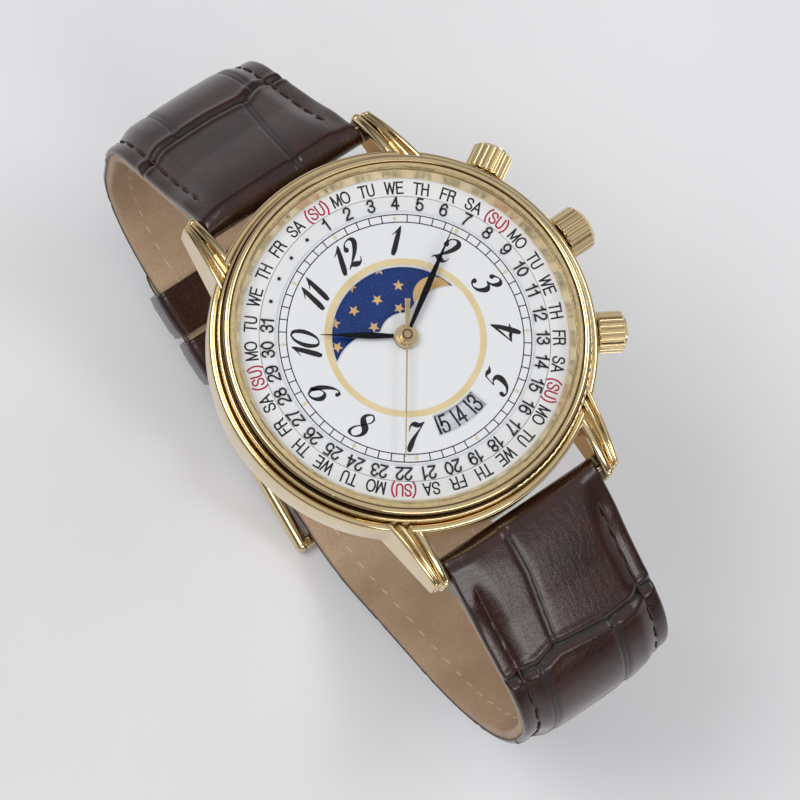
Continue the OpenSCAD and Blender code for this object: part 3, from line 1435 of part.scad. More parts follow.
mid_case();
bezel();
crystal();
crystal_gasket();
rehaut();
case_back();
case_back_gasket();
stem_tubes();
dial();
weekday_ring();
moon_disc();
date_disc();
hour_hand();
minute_hand();
second_hand();
movement_ring();
main_plate();
calendar_plate();
movement_screws();
train_bridge();
battery();
battery_clip();
circuit_board();
quartz_can();
coil();
stator();
rotor();
intermediate_wheel();
seconds_wheel();
third_wheel();
centre_wheel();
minute_wheel();
hour_wheel();
date_driving_wheel();
date_jumper();
moon_corrector();
crown();
crown_gasket();
winding_stem();
sliding_pinion();
setting_fork();
pusher_collar();
moon_pusher();
pusher_spring();
ring_knob();
ring_knob_pinion();
strap_upper();
strap_upper_lining();
strap_lower();
strap_lower_lining();
fixed_keeper();
sliding_keeper();
buckle_frame();
buckle_tang();
buckle_bar();
spring_bar_tubes();
upper_bar_pin();
lower_bar_pin();
bar_springs();
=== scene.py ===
import json
import math

import bpy
import numpy as np
from mathutils import Matrix, Vector


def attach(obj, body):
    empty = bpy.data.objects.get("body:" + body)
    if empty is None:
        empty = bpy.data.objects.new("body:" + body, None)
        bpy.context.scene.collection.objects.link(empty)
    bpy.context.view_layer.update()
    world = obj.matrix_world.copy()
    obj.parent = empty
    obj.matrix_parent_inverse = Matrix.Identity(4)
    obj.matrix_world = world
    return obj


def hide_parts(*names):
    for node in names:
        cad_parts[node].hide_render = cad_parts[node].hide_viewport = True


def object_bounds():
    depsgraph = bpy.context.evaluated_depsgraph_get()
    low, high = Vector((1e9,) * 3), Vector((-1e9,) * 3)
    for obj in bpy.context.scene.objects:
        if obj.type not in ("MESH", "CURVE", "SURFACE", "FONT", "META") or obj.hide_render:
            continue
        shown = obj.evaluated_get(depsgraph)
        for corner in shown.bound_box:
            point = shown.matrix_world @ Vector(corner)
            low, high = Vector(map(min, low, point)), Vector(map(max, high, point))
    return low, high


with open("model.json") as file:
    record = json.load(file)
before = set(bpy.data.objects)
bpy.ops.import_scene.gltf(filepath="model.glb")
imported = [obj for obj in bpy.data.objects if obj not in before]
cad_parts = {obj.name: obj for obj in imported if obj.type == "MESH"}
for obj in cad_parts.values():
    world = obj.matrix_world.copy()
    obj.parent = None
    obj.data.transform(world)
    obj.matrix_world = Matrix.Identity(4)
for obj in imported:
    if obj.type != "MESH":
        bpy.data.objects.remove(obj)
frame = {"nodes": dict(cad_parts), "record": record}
cad_box = [list(corner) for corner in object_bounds()]

# Sizes in millimetres, as in the part's source
MM = 0.001
DIAL_Z = 6.5
RING_Z = 6.42
DATE_DISC_Z = 5.84
MOON_DISC_Z = 6.05
PRINT = 0.012

BAR_Y = 19.9
BAR_Z = 1.9
STRAP_T = 1.6
STRAP_END_T = 2.9
LINING_T = 0.6
PAD_H = 0.8
LUG_HALF_W = 8.8
END_HALF_W = 8.0
UPPER_FALL = 45
LOWER_FALL = 31
UPPER_REACH = 34.1
LOWER_REACH = 35.5
BACK_TILT = 13
BAR_DEPTH = 39.2
BUCKLE_BAR_Y = 5.6
TANG_W = 1.5
HOLE_D = 1.8
HOLE_REACH = 2
HOLE_STEP = 7
USED_HOLE_Y = -1.6
KEEPER_W = 5.1
KEEPER_T = 1.0
KEEPER_GAP = 0.6
FIXED_KEEPER_Y = 13.3
SOFT_GAP = 0.3
STITCH_INSET = 1.55
STITCH_PITCH = 2.5
STITCH_LONG = 2.0
LINING_INSET = 2.3
LINING_PITCH = 2.3
LINING_LONG = 1.1
TAB_START = 3.0
TIP_RUN = 7
EDGE_R = 0.45
LINING_EDGE_R = 0.25
FOLD_STEPS = 10
FINE_DEPTH = 0.21
BROAD_DEPTH = 0.30


# Materials

def rgb(red, green, blue):
    """A linear colour from the 0 to 255 values it shows on a screen."""
    return tuple((c / 255) ** 2.2 for c in (red, green, blue))


class Finish:
    """A material whose colour, roughness and relief are varied by noise that lies on the object."""

    def __init__(self, name, colour, metallic=0.0, roughness=0.4):
        self.material = bpy.data.materials.new(name)
        self.material.use_nodes = True
        self.tree = self.material.node_tree
        self.shader = self.tree.nodes["Principled BSDF"]
        self.colour = colour
        self.set("Base Color", (*colour, 1))
        self.set("Metallic", metallic)
        self.set("Roughness", roughness)
        self.place = self.add("ShaderNodeTexCoord").outputs["Object"]

    def set(self, name, value):
        self.shader.inputs[name].default_value = value

    def add(self, kind, inputs=None, **settings):
        node = self.tree.nodes.new(kind)
        for key, value in settings.items():
            setattr(node, key, value)
        for key, value in (inputs or {}).items():
            if isinstance(value, bpy.types.NodeSocket):
                self.tree.links.new(value, node.inputs[key])
            else:
                node.inputs[key].default_value = value
        return node

    def link(self, output, name):
        self.tree.links.new(output, self.shader.inputs[name])

    def noise(self, size, detail=4, stretch=(1, 1, 1)):
        """Noise with features of that size in millimetres, drawn out along an axis by a stretch above 1."""
        scale = [1 / (size * MM * s) for s in stretch]
        mapping = self.add("ShaderNodeMapping", {"Vector": self.place, "Scale": scale})
        inputs = {"Vector": mapping.outputs[0], "Scale": 1, "Detail": detail}
        return self.add("ShaderNodeTexNoise", inputs).outputs[0]

    def cells(self, size):
        """The distance to the nearest edge of irregular cells of that size in millimetres."""
        inputs = {"Vector": self.place, "Scale": 1 / (size * MM)}
        return self.add("ShaderNodeTexVoronoi", inputs, feature="DISTANCE_TO_EDGE").outputs["Distance"]

    def mapped(self, value, low, high, start=0.3, end=0.7):
        inputs = {"Value": value, "From Min": start, "From Max": end, "To Min": low, "To Max": high}
        return self.add("ShaderNodeMapRange", inputs).outputs[0]

    def calc(self, operation, first, second=0.0):
        return self.add("ShaderNodeMath", {0: first, 1: second}, operation=operation).outputs[0]

    def blend(self, factor, first, second):
        """Mixes two colours, each a plain colour or a node's output."""
        first, second = [(*c, 1) if isinstance(c, tuple) else c for c in (first, second)]
        return self.add("ShaderNodeMix", {0: factor, 6: first, 7: second}, data_type="RGBA").outputs[2]

    def colour_by(self, value, other, start=0.3, end=0.7):
        """Turns the base colour towards another one where the value is high."""
        self.link(self.blend(self.mapped(value, 0, 1, start, end), self.colour, other), "Base Color")

    def roughness_by(self, value, low, high):
        self.link(self.mapped(value, low, high), "Roughness")

    def relief(self, height, depth, strength=1.0, normal=None):
        """Bumps of that depth in millimetres."""
        inputs = {"Height": height, "Distance": depth * MM, "Strength": strength}
        if normal is not None:
            inputs["Normal"] = normal
        self.link(self.add("ShaderNodeBump", inputs).outputs[0], "Normal")

    def soft_edges(self, radius):
        """The normal with its sharp edges rounded to that radius in millimetres."""
        return self.add("ShaderNodeBevel", {"Radius": radius * MM}, samples=4).outputs[0]

    def radius(self):
        """The distance from the dial's axis, in metres."""
        parts = self.add("ShaderNodeSeparateXYZ", {"Vector": self.place})
        x, y = parts.outputs[0], parts.outputs[1]
        squares = self.calc("ADD", self.calc("MULTIPLY", x, x), self.calc("MULTIPLY", y, y))
        return self.calc("SQRT", squares)


GOLD = rgb(228, 206, 162)
GOLD_SHADE = rgb(222, 197, 148)
# The colour painted into round grooves of polished gold as their shade
GOLD_PAINTED_SHADE = rgb(112, 86, 50)
POLISHED = (0.09, 0.15)
POLISHED_DEPTH = 0.00005


def metal(name, colour, shade, roughness, grain=(1, 1, 1), depth=0.0015, edge=0.06, grooves=(), reach=0.0):
    """A plated or plain metal: fine scratches, faint patches of tone, softened edges and painted shade in its
    grooves.

    The grooves are rings at those radii from the dial's axis, painted darker as shade out to their reach, in
    millimetres.
    """
    made = Finish(name, colour, 1.0)
    patches = made.noise(2.4, 3)
    toned = made.blend(made.mapped(patches, 0, 1), colour, shade)
    # Painted shade: the colour darkens towards the painted shade colour in a ring round each groove's radius
    for groove in grooves:
        distance = made.calc("ABSOLUTE", made.calc("SUBTRACT", made.radius(), groove * MM))
        toned = made.blend(made.mapped(distance, 1, 0, reach * MM / 3, reach * MM), toned, GOLD_PAINTED_SHADE)
    made.link(toned, "Base Color")
    lines = made.noise(0.09, 3, grain)
    made.roughness_by(made.blend(0.6, patches, lines), *roughness)
    made.relief(lines, depth, 0.6, made.soft_edges(edge))
    return made


def ringed_gold(name, grooves, reach):
    """Polished gold with painted shade in its round grooves."""
    rings = {"grooves": grooves, "reach": reach}
    return metal(name, GOLD, GOLD_SHADE, POLISHED, depth=POLISHED_DEPTH, edge=0.05, **rings)


def plain(name, colour, shade, roughness, size=0.5, depth=0.004):
    """A moulded or painted surface with a fine grain."""
    made = Finish(name, colour)
    grain = made.noise(size, 5)
    made.colour_by(grain, shade)
    made.roughness_by(grain, *roughness)
    made.relief(grain, depth, 0.5)
    return made


gold = metal("gold_polished", GOLD, GOLD_SHADE, POLISHED, depth=POLISHED_DEPTH)
gold_satin = metal("gold_satin", rgb(242, 224, 184), rgb(232, 210, 164), (0.28, 0.4), depth=0.001)
gold_bright = metal("gold_bright", rgb(246, 226, 176), GOLD_SHADE, (0.1, 0.18), depth=POLISHED_DEPTH,
                    edge=0.03)
steel = metal("steel_brushed", rgb(190, 190, 192), rgb(168, 168, 172), (0.22, 0.38), (6, 1, 1))
brass = metal("brass_grained", rgb(214, 182, 112), rgb(196, 160, 92), (0.25, 0.4), (1, 7, 1))
copper = metal("copper_winding", rgb(196, 112, 70), rgb(160, 84, 50), (0.3, 0.45), (1, 12, 1), depth=0.01)
gold_back = metal("gold_back", GOLD, GOLD_SHADE, (0.18, 0.32), (1, 8, 1), depth=0.001)

gasket = plain("gasket_rubber", rgb(42, 42, 44), rgb(58, 58, 60), (0.6, 0.8))
clear_gasket = plain("gasket_nylon", rgb(196, 176, 132), rgb(176, 154, 110), (0.3, 0.45))
holder = plain("holder_plastic", rgb(236, 234, 226), rgb(222, 218, 208), (0.35, 0.5))
board = plain("circuit_board", rgb(34, 86, 60), rgb(24, 66, 46), (0.35, 0.5), 0.8)
ink_black = plain("ink_black", rgb(9, 9, 11), rgb(24, 24, 27), (0.3, 0.45), 0.3)
ink_crimson = plain("ink_crimson", rgb(188, 24, 66), rgb(160, 20, 56), (0.3, 0.45), 0.3)
thread_dark = plain("thread_brown", rgb(74, 50, 42), rgb(46, 30, 26), (0.6, 0.8), 0.12, 0.02)
thread_light = plain("thread_tan", rgb(206, 186, 160), rgb(176, 152, 124), (0.65, 0.85), 0.12, 0.02)
ink_gold = metal("ink_gold", rgb(240, 220, 174), rgb(228, 204, 150), (0.35, 0.5), depth=0.001)
star_gold = metal("star_gold", rgb(232, 196, 138), rgb(216, 172, 108), (0.3, 0.45), depth=0.004)
for ink in (ink_gold, star_gold):
    ink.set("Metallic", 0.2)


def make_dial_white(name, colour, outer):
    """Satin silver-white lacquer, a little greyer outside the minute track."""
    made = Finish(name, colour, 0.0, 0.34)
    pearl = made.noise(0.35, 3)
    zone = made.mapped(made.radius(), 0, 1, 12.0 * MM, 12.1 * MM)
    toned = made.blend(zone, colour, outer)
    made.link(made.blend(made.mapped(pearl, 0.0, 0.12), toned, rgb(246, 247, 248)), "Base Color")
    made.roughness_by(pearl, 0.28, 0.4)
    made.relief(pearl, 0.0015, 0.4)
    made.set("Coat Weight", 0.15)
    return made


dial_white = make_dial_white("dial_white", rgb(237, 239, 241), rgb(233, 235, 237))
ring_white = make_dial_white("ring_white", rgb(236, 238, 240), rgb(236, 238, 240))
disc_white = plain("disc_white", rgb(214, 217, 224), rgb(204, 208, 216), (0.4, 0.5))


def make_moon_blue():
    """Glossy royal blue enamel, deeper in patches."""
    made = Finish("moon_blue", rgb(2, 54, 122), 0.0, 0.25)
    made.colour_by(made.noise(1.6, 4), rgb(2, 44, 106))
    made.roughness_by(made.noise(0.2, 3), 0.2, 0.3)
    made.relief(made.noise(0.4, 3), 0.001, 0.3)
    made.set("Coat Weight", 0.1)
    return made


def make_hand(name, collar):
    """Dark grey lacquered blade with a gold collar of that radius in millimetres."""
    made = Finish(name, rgb(30, 31, 35), 1.0)
    inside = made.calc("LESS_THAN", made.radius(), collar * MM)
    fine = made.noise(0.1, 3)
    dark = made.blend(made.mapped(fine, 0, 1), rgb(30, 31, 35), rgb(48, 49, 54))
    made.link(made.blend(inside, dark, GOLD), "Base Color")
    made.roughness_by(fine, 0.22, 0.34)
    made.relief(fine, 0.001, 0.4)
    return made


def make_glass():
    """Thin clear mineral glass with a faint haze at its grain."""
    made = Finish("crystal_glass", rgb(26, 30, 34), 0.0, 0.02)
    made.roughness_by(made.noise(1.2, 2), 0.01, 0.03)
    made.set("Alpha", 0.06)
    made.set("Specular IOR Level", 0.3)
    return made


def make_leather():
    """Glossy dark brown scaled leather: fine pores and creases, with painted shade darkening the grooves,
    which are also duller.
    """
    made = Finish("leather_brown", rgb(56, 30, 26), 0.0, 0.3)
    crease = made.add("ShaderNodeAttribute", attribute_name="crease").outputs["Fac"]
    patches = made.noise(5, 4)
    toned = made.blend(made.mapped(patches, 0, 1), rgb(40, 21, 17), rgb(58, 31, 25))
    pores = made.noise(0.16, 4)
    toned = made.blend(made.mapped(pores, 0.0, 0.35), toned, rgb(32, 19, 18))
    # Painted shade: the colour darkens where the crease value says the surface lies deep in a groove
    made.link(made.blend(crease, toned, rgb(22, 13, 13)), "Base Color")
    wrinkles = made.cells(0.75)
    long_wrinkles = made.noise(0.5, 5, (1, 3, 3))
    gloss = made.mapped(pores, 0.18, 0.32)
    made.link(made.calc("ADD", gloss, made.calc("MULTIPLY", crease, 0.3)), "Roughness")
    height = made.calc("ADD", made.mapped(wrinkles, 0, 0.3, 0.0, 0.06), made.mapped(long_wrinkles, 0, 0.7))
    height = made.calc("ADD", height, made.calc("MULTIPLY", pores, 0.4))
    made.relief(height, 0.022, 0.7)
    made.set("Specular IOR Level", 0.4)
    made.set("Coat Weight", 0.3)
    made.set("Coat Roughness", 0.15)
    return made


def make_lining():
    """Matt tan lining leather with fine pores and faint wrinkles."""
    made = Finish("leather_tan", rgb(178, 151, 124), 0.0, 0.6)
    patches = made.noise(6, 4)
    pores = made.noise(0.22, 4)
    toned = made.blend(made.mapped(patches, 0, 1), rgb(184, 157, 130), rgb(160, 132, 106))
    made.link(made.blend(made.mapped(pores, 0.0, 0.4), toned, rgb(134, 108, 84)), "Base Color")
    made.roughness_by(pores, 0.5, 0.7)
    made.relief(made.calc("ADD", pores, made.noise(1.1, 4, (1, 3, 3))), 0.03, 0.6)
    return made


def make_floor():
    """Pale matt studio paper."""
    made = Finish("floor_paper", rgb(226, 226, 228), 0.0, 0.85)
    made.colour_by(made.noise(30, 3), rgb(222, 222, 224))
    made.relief(made.noise(0.8, 3), 0.01, 0.3)
    return made


leather = make_leather()
lining = make_lining()
moon_blue = make_moon_blue()

SLOT_FINISH = {
    "gold_steel": gold, "gold_satin": gold_satin, "steel": steel, "brass": brass, "copper": copper,
    "gasket": gasket, "clear_gasket": clear_gasket, "holder": holder, "board": board,
    "dial_white": dial_white, "disc_white": disc_white, "moon_blue": moon_blue, "glass": make_glass(),
    "leather": leather, "lining": lining,
}
NODE_FINISH = {
    # The case, the bezel and the second hand's hub get painted shade in their round grooves
    "mid_case": ringed_gold("gold_case", [17.62], 0.25),
    "bezel": ringed_gold("gold_bezel", [17.25, 16.5], 0.22),
    "second_hand": ringed_gold("gold_hub", [0.42], 0.11),
    "hour_hand": make_hand("hand_hour", 1.17),
    "minute_hand": make_hand("hand_minute", 0.87),
    "case_back": gold_back,
    "moon_pusher": gold_bright,
    "weekday_ring": ring_white,
}
SLOT_OF = {row["node"]: row["material_slot"] for row in frame["record"]["subparts"]}

for node_name, node in frame["nodes"].items():
    finish = NODE_FINISH.get(node_name) or SLOT_FINISH[SLOT_OF[node_name]]
    node.data.materials.clear()
    node.data.materials.append(finish.material)


# Pieces

def make_object(name, data):
    """Puts a mesh, lamp or camera into the scene as an object."""
    made = bpy.data.objects.new(name, data)
    bpy.context.scene.collection.objects.link(made)
    return made


def make_mesh(name, points, faces):
    """A mesh from points in millimetres."""
    mesh = bpy.data.meshes.new(name)
    mesh.from_pydata([Vector(p) * MM for p in points], [], faces)
    mesh.update()
    return mesh


class Shape:
    """Points in millimetres and faces, gathered from many small forms into one piece."""

    def __init__(self):
        self.points = []
        self.faces = []

    def add(self, points, faces):
        start = len(self.points)
        self.points.extend(tuple(p) for p in points)
        self.faces.extend(tuple(start + i for i in face) for face in faces)

    def loft(self, rings, flip=False, closed=False):
        """A skin over rings of equally many points, closed to itself or with a cap at each end."""
        count, width = len(rings), len(rings[0])
        faces = []
        for i in range(count if closed else count - 1):
            here, there = i * width, (i + 1) % count * width
            for j in range(width):
                k = (j + 1) % width
                faces.append((here + j, here + k, there + k, there + j))
        if not closed:
            faces.append(tuple(reversed(range(width))))
            faces.append(tuple((count - 1) * width + j for j in range(width)))
        if flip:
            faces = [face[::-1] for face in faces]
        self.add([p for ring in rings for p in ring], faces)

    def slab(self, outline, low, high):
        """A flat form from a closed outline of (x, y), its top at high and its walls down to low."""
        count = len(outline)
        points = [(x, y, z) for z in (high, low) for x, y in outline]
        walls = [(i, count + i, count + (i + 1) % count, (i + 1) % count) for i in range(count)]
        self.add(points, [tuple(range(count))] + walls)

    def ribbon(self, left, right, low, high):
        """A flat band between two rows of (x, y) points, with its walls."""
        count = len(left)
        points = [(x, y, z) for z in (high, low) for row in (left, right) for x, y in row]
        faces = []
        for i in range(count - 1):
            for a, b in ((0, count), (2 * count, 0), (count, 3 * count)):
                faces.append((a + i, b + i, b + i + 1, a + i + 1))
        self.add(points, faces)

    def annulus(self, inner, outer, low, high, steps=180):
        turn = [2 * math.pi * i / steps for i in range(steps + 1)]
        rows = [[(radius * math.sin(a), radius * math.cos(a)) for a in turn] for radius in (outer, inner)]
        self.ribbon(*rows, low, high)

    def disc(self, x, y, radius, low, high, steps=24):
        turn = [2 * math.pi * i / steps for i in range(steps)]
        self.slab([(x + radius * math.cos(a), y + radius * math.sin(a)) for a in turn], low, high)

    def piece(self, name, finish, body, slot=None, smooth=False):
        mesh = make_mesh(name, self.points, self.faces)
        mesh.shade_smooth() if smooth else mesh.shade_flat()
        mesh.materials.append(finish.material)
        made = make_object(name, mesh)
        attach(made, body)
        return made


def around(radius, clock_angle, outward=True):
    """A frame on the dial: where it is, its right and its up, for marks at degrees clockwise from 12."""
    a = math.radians(clock_angle)
    place = Vector((radius * math.sin(a), radius * math.cos(a)))
    up = Vector((math.sin(a), math.cos(a))) * (1 if outward else -1)
    return place, Vector((up.y, -up.x)), up


# Plain sans-serif marks for the calendar, each a width and strokes of (x, y), in hundredths of the height.
# A stroke in square brackets is one smooth line, one in round brackets is straight between its points.
SANS = {
    "0": (56, [[(28, 100), (8, 82), (0, 50), (8, 18), (28, 0), (48, 18), (56, 50), (48, 82), (28, 100)]]),
    "1": (40, [((2, 74), (18, 80), (29, 100), (29, 0))]),
    "2": (56, [[(2, 70), (10, 92), (29, 100), (48, 92), (54, 72), (44, 50), (16, 24), (2, 2)], ((0, 0),
               (56, 0))]),
    "3": (56, [[(3, 76), (12, 94), (29, 100), (47, 92), (51, 75), (42, 58), (24, 53)], [(24, 53),
               (46, 47), (55, 28), (47, 8), (27, 0), (8, 7), (1, 26)]]),
    "4": (58, [((42, 0), (42, 100), (0, 30), (58, 30))]),
    "5": (56, [((50, 100), (10, 100), (5, 48)), [(5, 48), (16, 62), (34, 64), (51, 52), (56, 31), (47, 8),
               (26, 0), (7, 8), (1, 24)]]),
    "6": (56, [[(51, 79), (42, 96), (27, 100), (9, 86), (1, 55), (4, 18), (27, 0), (50, 11), (55, 33),
               (46, 56), (28, 62), (9, 52), (2, 36)]]),
    "7": (54, [((0, 100), (54, 100), (33, 62), (19, 22), (16, 0))]),
    "8": (56, [[(28, 54), (8, 64), (6, 86), (28, 100), (50, 86), (48, 64), (28, 54), (4, 42), (2, 14),
               (28, 0), (54, 14), (52, 42), (28, 54)]]),
    "9": (56, [[(4, 21), (13, 4), (28, 0), (46, 14), (54, 45), (51, 82), (28, 100), (5, 89), (0, 67),
               (9, 44), (27, 38), (46, 48), (53, 64)]]),
    "A": (72, [((0, 0), (36, 100), (72, 0)), ((13, 33), (59, 33))]),
    "E": (60, [((60, 100), (4, 100), (4, 0), (60, 0)), ((4, 53), (55, 53))]),
    "F": (56, [((56, 100), (4, 100), (4, 0)), ((4, 52), (50, 52))]),
    "H": (66, [((4, 0), (4, 100)), ((62, 0), (62, 100)), ((4, 53), (62, 53))]),
    "M": (80, [((4, 0), (4, 100), (40, 8), (76, 100), (76, 0))]),
    "O": (78, [[(39, 100), (12, 88), (0, 50), (12, 12), (39, 0), (66, 12), (78, 50), (66, 88),
               (39, 100)]]),
    "R": (66, [((4, 0), (4, 100), (42, 100), (57, 93), (60, 75), (55, 58), (40, 52), (4, 52)), ((36, 52),
               (55, 40), (58, 12), (65, 0))]),
    "S": (62, [[(58, 76), (49, 94), (30, 100), (10, 93), (4, 75), (16, 58), (42, 49), (60, 34), (56, 9),
               (32, 0), (9, 8), (1, 28)]]),
    "T": (62, [((0, 100), (62, 100)), ((31, 100), (31, 0))]),
    "U": (66, [[(4, 100), (4, 62), (4, 36), (11, 9), (33, 0), (55, 9), (62, 36), (62, 62), (62, 100)]]),
    "W": (94, [((0, 100), (23, 0), (47, 92), (71, 0), (94, 100))]),
    "(": (24, [[(24, 112), (6, 82), (0, 44), (6, 8), (24, -22)]]),
    ")": (24, [[(0, 112), (18, 82), (24, 44), (18, 8), (0, -22)]]),
    "l": (16, [((8, 0), (8, 100))]),
}
SANS_GAP = 0.17
LAYER = 0.0005


def unit(points):
    """A stroke's points as shares of the height."""
    return [tuple(value / 100 for value in point) for point in points]


def thick_line(shape, line, width, z):
    """A flat stroke of even width along (x, y) points, mitred at its corners and square at its ends."""
    left, right = [], []
    last = len(line) - 1
    for i, point in enumerate(line):
        before = line[i] - line[i - 1] if i else line[1] - line[0]
        after = line[i + 1] - line[i] if i < last else before
        before, after = before.normalized(), after.normalized()
        middle = (before + after).normalized() if (before + after).length > 0.3 else before
        reach = width / 2 / max(0.6, middle.dot(before))
        side = Vector((-middle.y, middle.x)) * reach
        end = before * (-width / 2 if i == 0 else width / 2 if i == last else 0)
        left.append(tuple(point + side + end))
        right.append(tuple(point - side + end))
    shape.ribbon(left, right, z, z + PRINT)


def write(shape, text, height, frame_of, z, squeeze, weight):
    """Writes a short text flat on the dial in a frame from around(), centred on its middle."""
    place, right, up = frame_of
    total = sum(SANS[mark][0] / 100 for mark in text) + SANS_GAP * (len(text) - 1)
    x0 = -total / 2
    for mark in text:
        width, strokes = SANS[mark]
        for k, stroke in enumerate(strokes):
            straight = isinstance(stroke, tuple)
            line = unit(stroke) if straight else spline(unit(stroke), 5)
            points = [place + (right * (x0 + x) * squeeze + up * (y - 0.5)) * height for x, y in line]
            runs = list(zip(points, points[1:])) if straight else [points]
            for i, run in enumerate(runs):
                thick_line(shape, run, weight * height, z + (k + i) * LAYER)
        x0 += width / 100 + SANS_GAP


def spline(points, steps=10):
    """A smooth line through rows of numbers, Catmull-Rom."""
    rows = [np.array(p, float) for p in points]
    rows = [2 * rows[0] - rows[1]] + rows + [2 * rows[-1] - rows[-2]]
    line = []
    for i in range(1, len(rows) - 2):
        a, b, c, d = rows[i - 1:i + 3]
        for k in range(steps):
            t = k / steps
            line.append(0.5 * (2 * b + (c - a) * t + (2 * a - 5 * b + 4 * c - d) * t ** 2
                               + (3 * b - a - 3 * c + d) * t ** 3))
    line.append(rows[-2])
    return line


# Each digit's strokes, as points (x, y, width) in hundredths of the height, upright before the slant
STROKES = {
    "0": [[(30, 100, 5), (13, 86, 9), (4, 50, 13), (12, 12, 9), (28, 0, 5), (46, 13, 9), (54, 50, 13),
          (46, 87, 9), (30, 100, 5)]],
    "1": [[(0, 72, 3), (10, 80, 5), (22, 96, 5)], [(24, 100, 5), (22, 85, 12), (21, 50, 15), (20, 12, 16),
          (19, 0, 13)]],
    "2": [[(12, 70, 15), (9, 76, 10), (12, 92, 5), (30, 100, 6), (46, 92, 12), (50, 74, 16), (40, 48, 13),
          (20, 22, 7), (3, 3, 4)], [(3, 3, 4), (12, 12, 8), (26, 10, 14), (42, 4, 13), (54, 8, 6),
          (58, 22, 3)]],
    "3": [[(9, 80, 14), (10, 88, 8), (26, 100, 5), (42, 93, 11), (46, 78, 14), (38, 62, 8), (22, 55, 4)],
          [(22, 55, 4), (40, 50, 8), (52, 32, 16), (44, 9, 11), (24, 0, 5), (8, 8, 7), (6, 17, 14)]],
    "4": [[(44, 100, 6), (28, 72, 8), (0, 32, 4)], [(0, 31, 5), (16, 33, 9), (40, 29, 9), (64, 33, 4)],
          [(44, 100, 5), (44, 70, 13), (43, 35, 16), (42, 8, 15), (41, 0, 12)]],
    "5": [[(16, 93, 4), (28, 96, 10), (42, 92, 11), (56, 100, 3)], [(17, 95, 5), (14, 74, 4),
          (12, 55, 4)], [(12, 55, 4), (24, 64, 6), (42, 58, 12), (50, 36, 17), (42, 10, 11), (22, 0, 5),
          (7, 7, 8), (7, 16, 13)]],
    "7": [[(5, 70, 3), (6, 88, 6), (16, 95, 13), (36, 89, 13), (54, 100, 4)], [(54, 100, 4), (42, 72, 6),
          (28, 40, 13), (22, 12, 17), (21, 0, 13)]],
    "8": [[(46, 86, 6), (32, 100, 5), (14, 92, 9), (11, 76, 13), (26, 58, 16), (44, 42, 16), (50, 22, 12),
          (38, 4, 7), (22, 0, 5), (5, 10, 9), (6, 30, 7), (26, 52, 4), (44, 70, 5), (46, 86, 6)]],
    "9": [[(50, 86, 8), (36, 100, 5), (16, 93, 10), (8, 72, 14), (18, 52, 9), (34, 50, 5), (48, 64, 7),
          (52, 82, 12), (50, 50, 15), (38, 20, 11), (20, 2, 5), (6, 6, 8), (5, 14, 12)]],
}
DIGIT_WIDTH = {"1": 0.40}
PLAIN_DIGIT_WIDTH = 0.62
SLANT = math.tan(math.radians(17))


def pen(width):
    """The breadth of a pen stroke: broad parts broader still, hairlines kept fine."""
    return max(0.03, 1.45 * width - 0.02)


def draw_number(shape, number, height, frame_of, z):
    """Draws an hour numeral in strokes of changing width, slanted to the right."""
    place, right, up = frame_of
    widths = [DIGIT_WIDTH.get(d, PLAIN_DIGIT_WIDTH) for d in number]
    x0 = -sum(widths) / 2
    for digit, width in zip(number, widths):
        for k, stroke in enumerate(STROKES[digit]):
            line = spline(unit(stroke))
            left, rightward = [], []
            for i, point in enumerate(line):
                ahead = line[min(i + 1, len(line) - 1)] - line[max(i - 1, 0)]
                side = Vector((-ahead[1], ahead[0])).normalized() * pen(point[2]) / 2
                for row, sign in ((left, 1), (rightward, -1)):
                    x = point[0] + sign * side.x
                    y = point[1] + sign * side.y
                    x += x0 + SLANT * (y - 0.5)
                    spot = place + (right * x + up * (y - 0.5)) * height
                    row.append((spot.x, spot.y))
            shape.ribbon(left, rightward, z, z + PRINT * (1 + 0.1 * k))
            for end in (0, -1):
                rx = (left[end][0] + rightward[end][0]) / 2
                ry = (left[end][1] + rightward[end][1]) / 2
                shape.disc(rx, ry, pen(line[end][2]) * height / 2, z, z + PRINT * 1.05, 12)
        x0 += width


# The places and heights of what is printed, in millimetres from the dial's axis
TRACK_R = 11.51
TRACK_RINGS = (11.14, 11.88)
EDGE_RINGS = (12.06, 12.2)
GOLD_RING = (7.02, 7.62)
NUMERAL_R = 9.42
NUMERAL_H = 2.55
RIM_DATE_R = 12.97
RIM_DATE_H = 1.12
WEEKDAY_R = 14.5
WEEKDAY_H = 1.08
WINDOW_DATE_R = 8.8
WINDOW_DATE_H = 1.66
MOON_PLACE_R = 4.96
MOON_R = 1.9
STAR_REACH = (0.56, 0.25)
PLACES = 35
DATES = 31
SHOWN_DATE = 14


def tick(shape, clock_angle, offset, half_width, half_length):
    """A small bar across the minute track, offset outward from the track's middle."""
    place, right, up = around(TRACK_R, clock_angle)
    corners = [place + right * (x * half_width) + up * (y * half_length + offset)
               for x, y in ((-1, -1), (1, -1), (1, 1), (-1, 1))]
    shape.slab([tuple(c) for c in corners], DIAL_Z, DIAL_Z + PRINT)


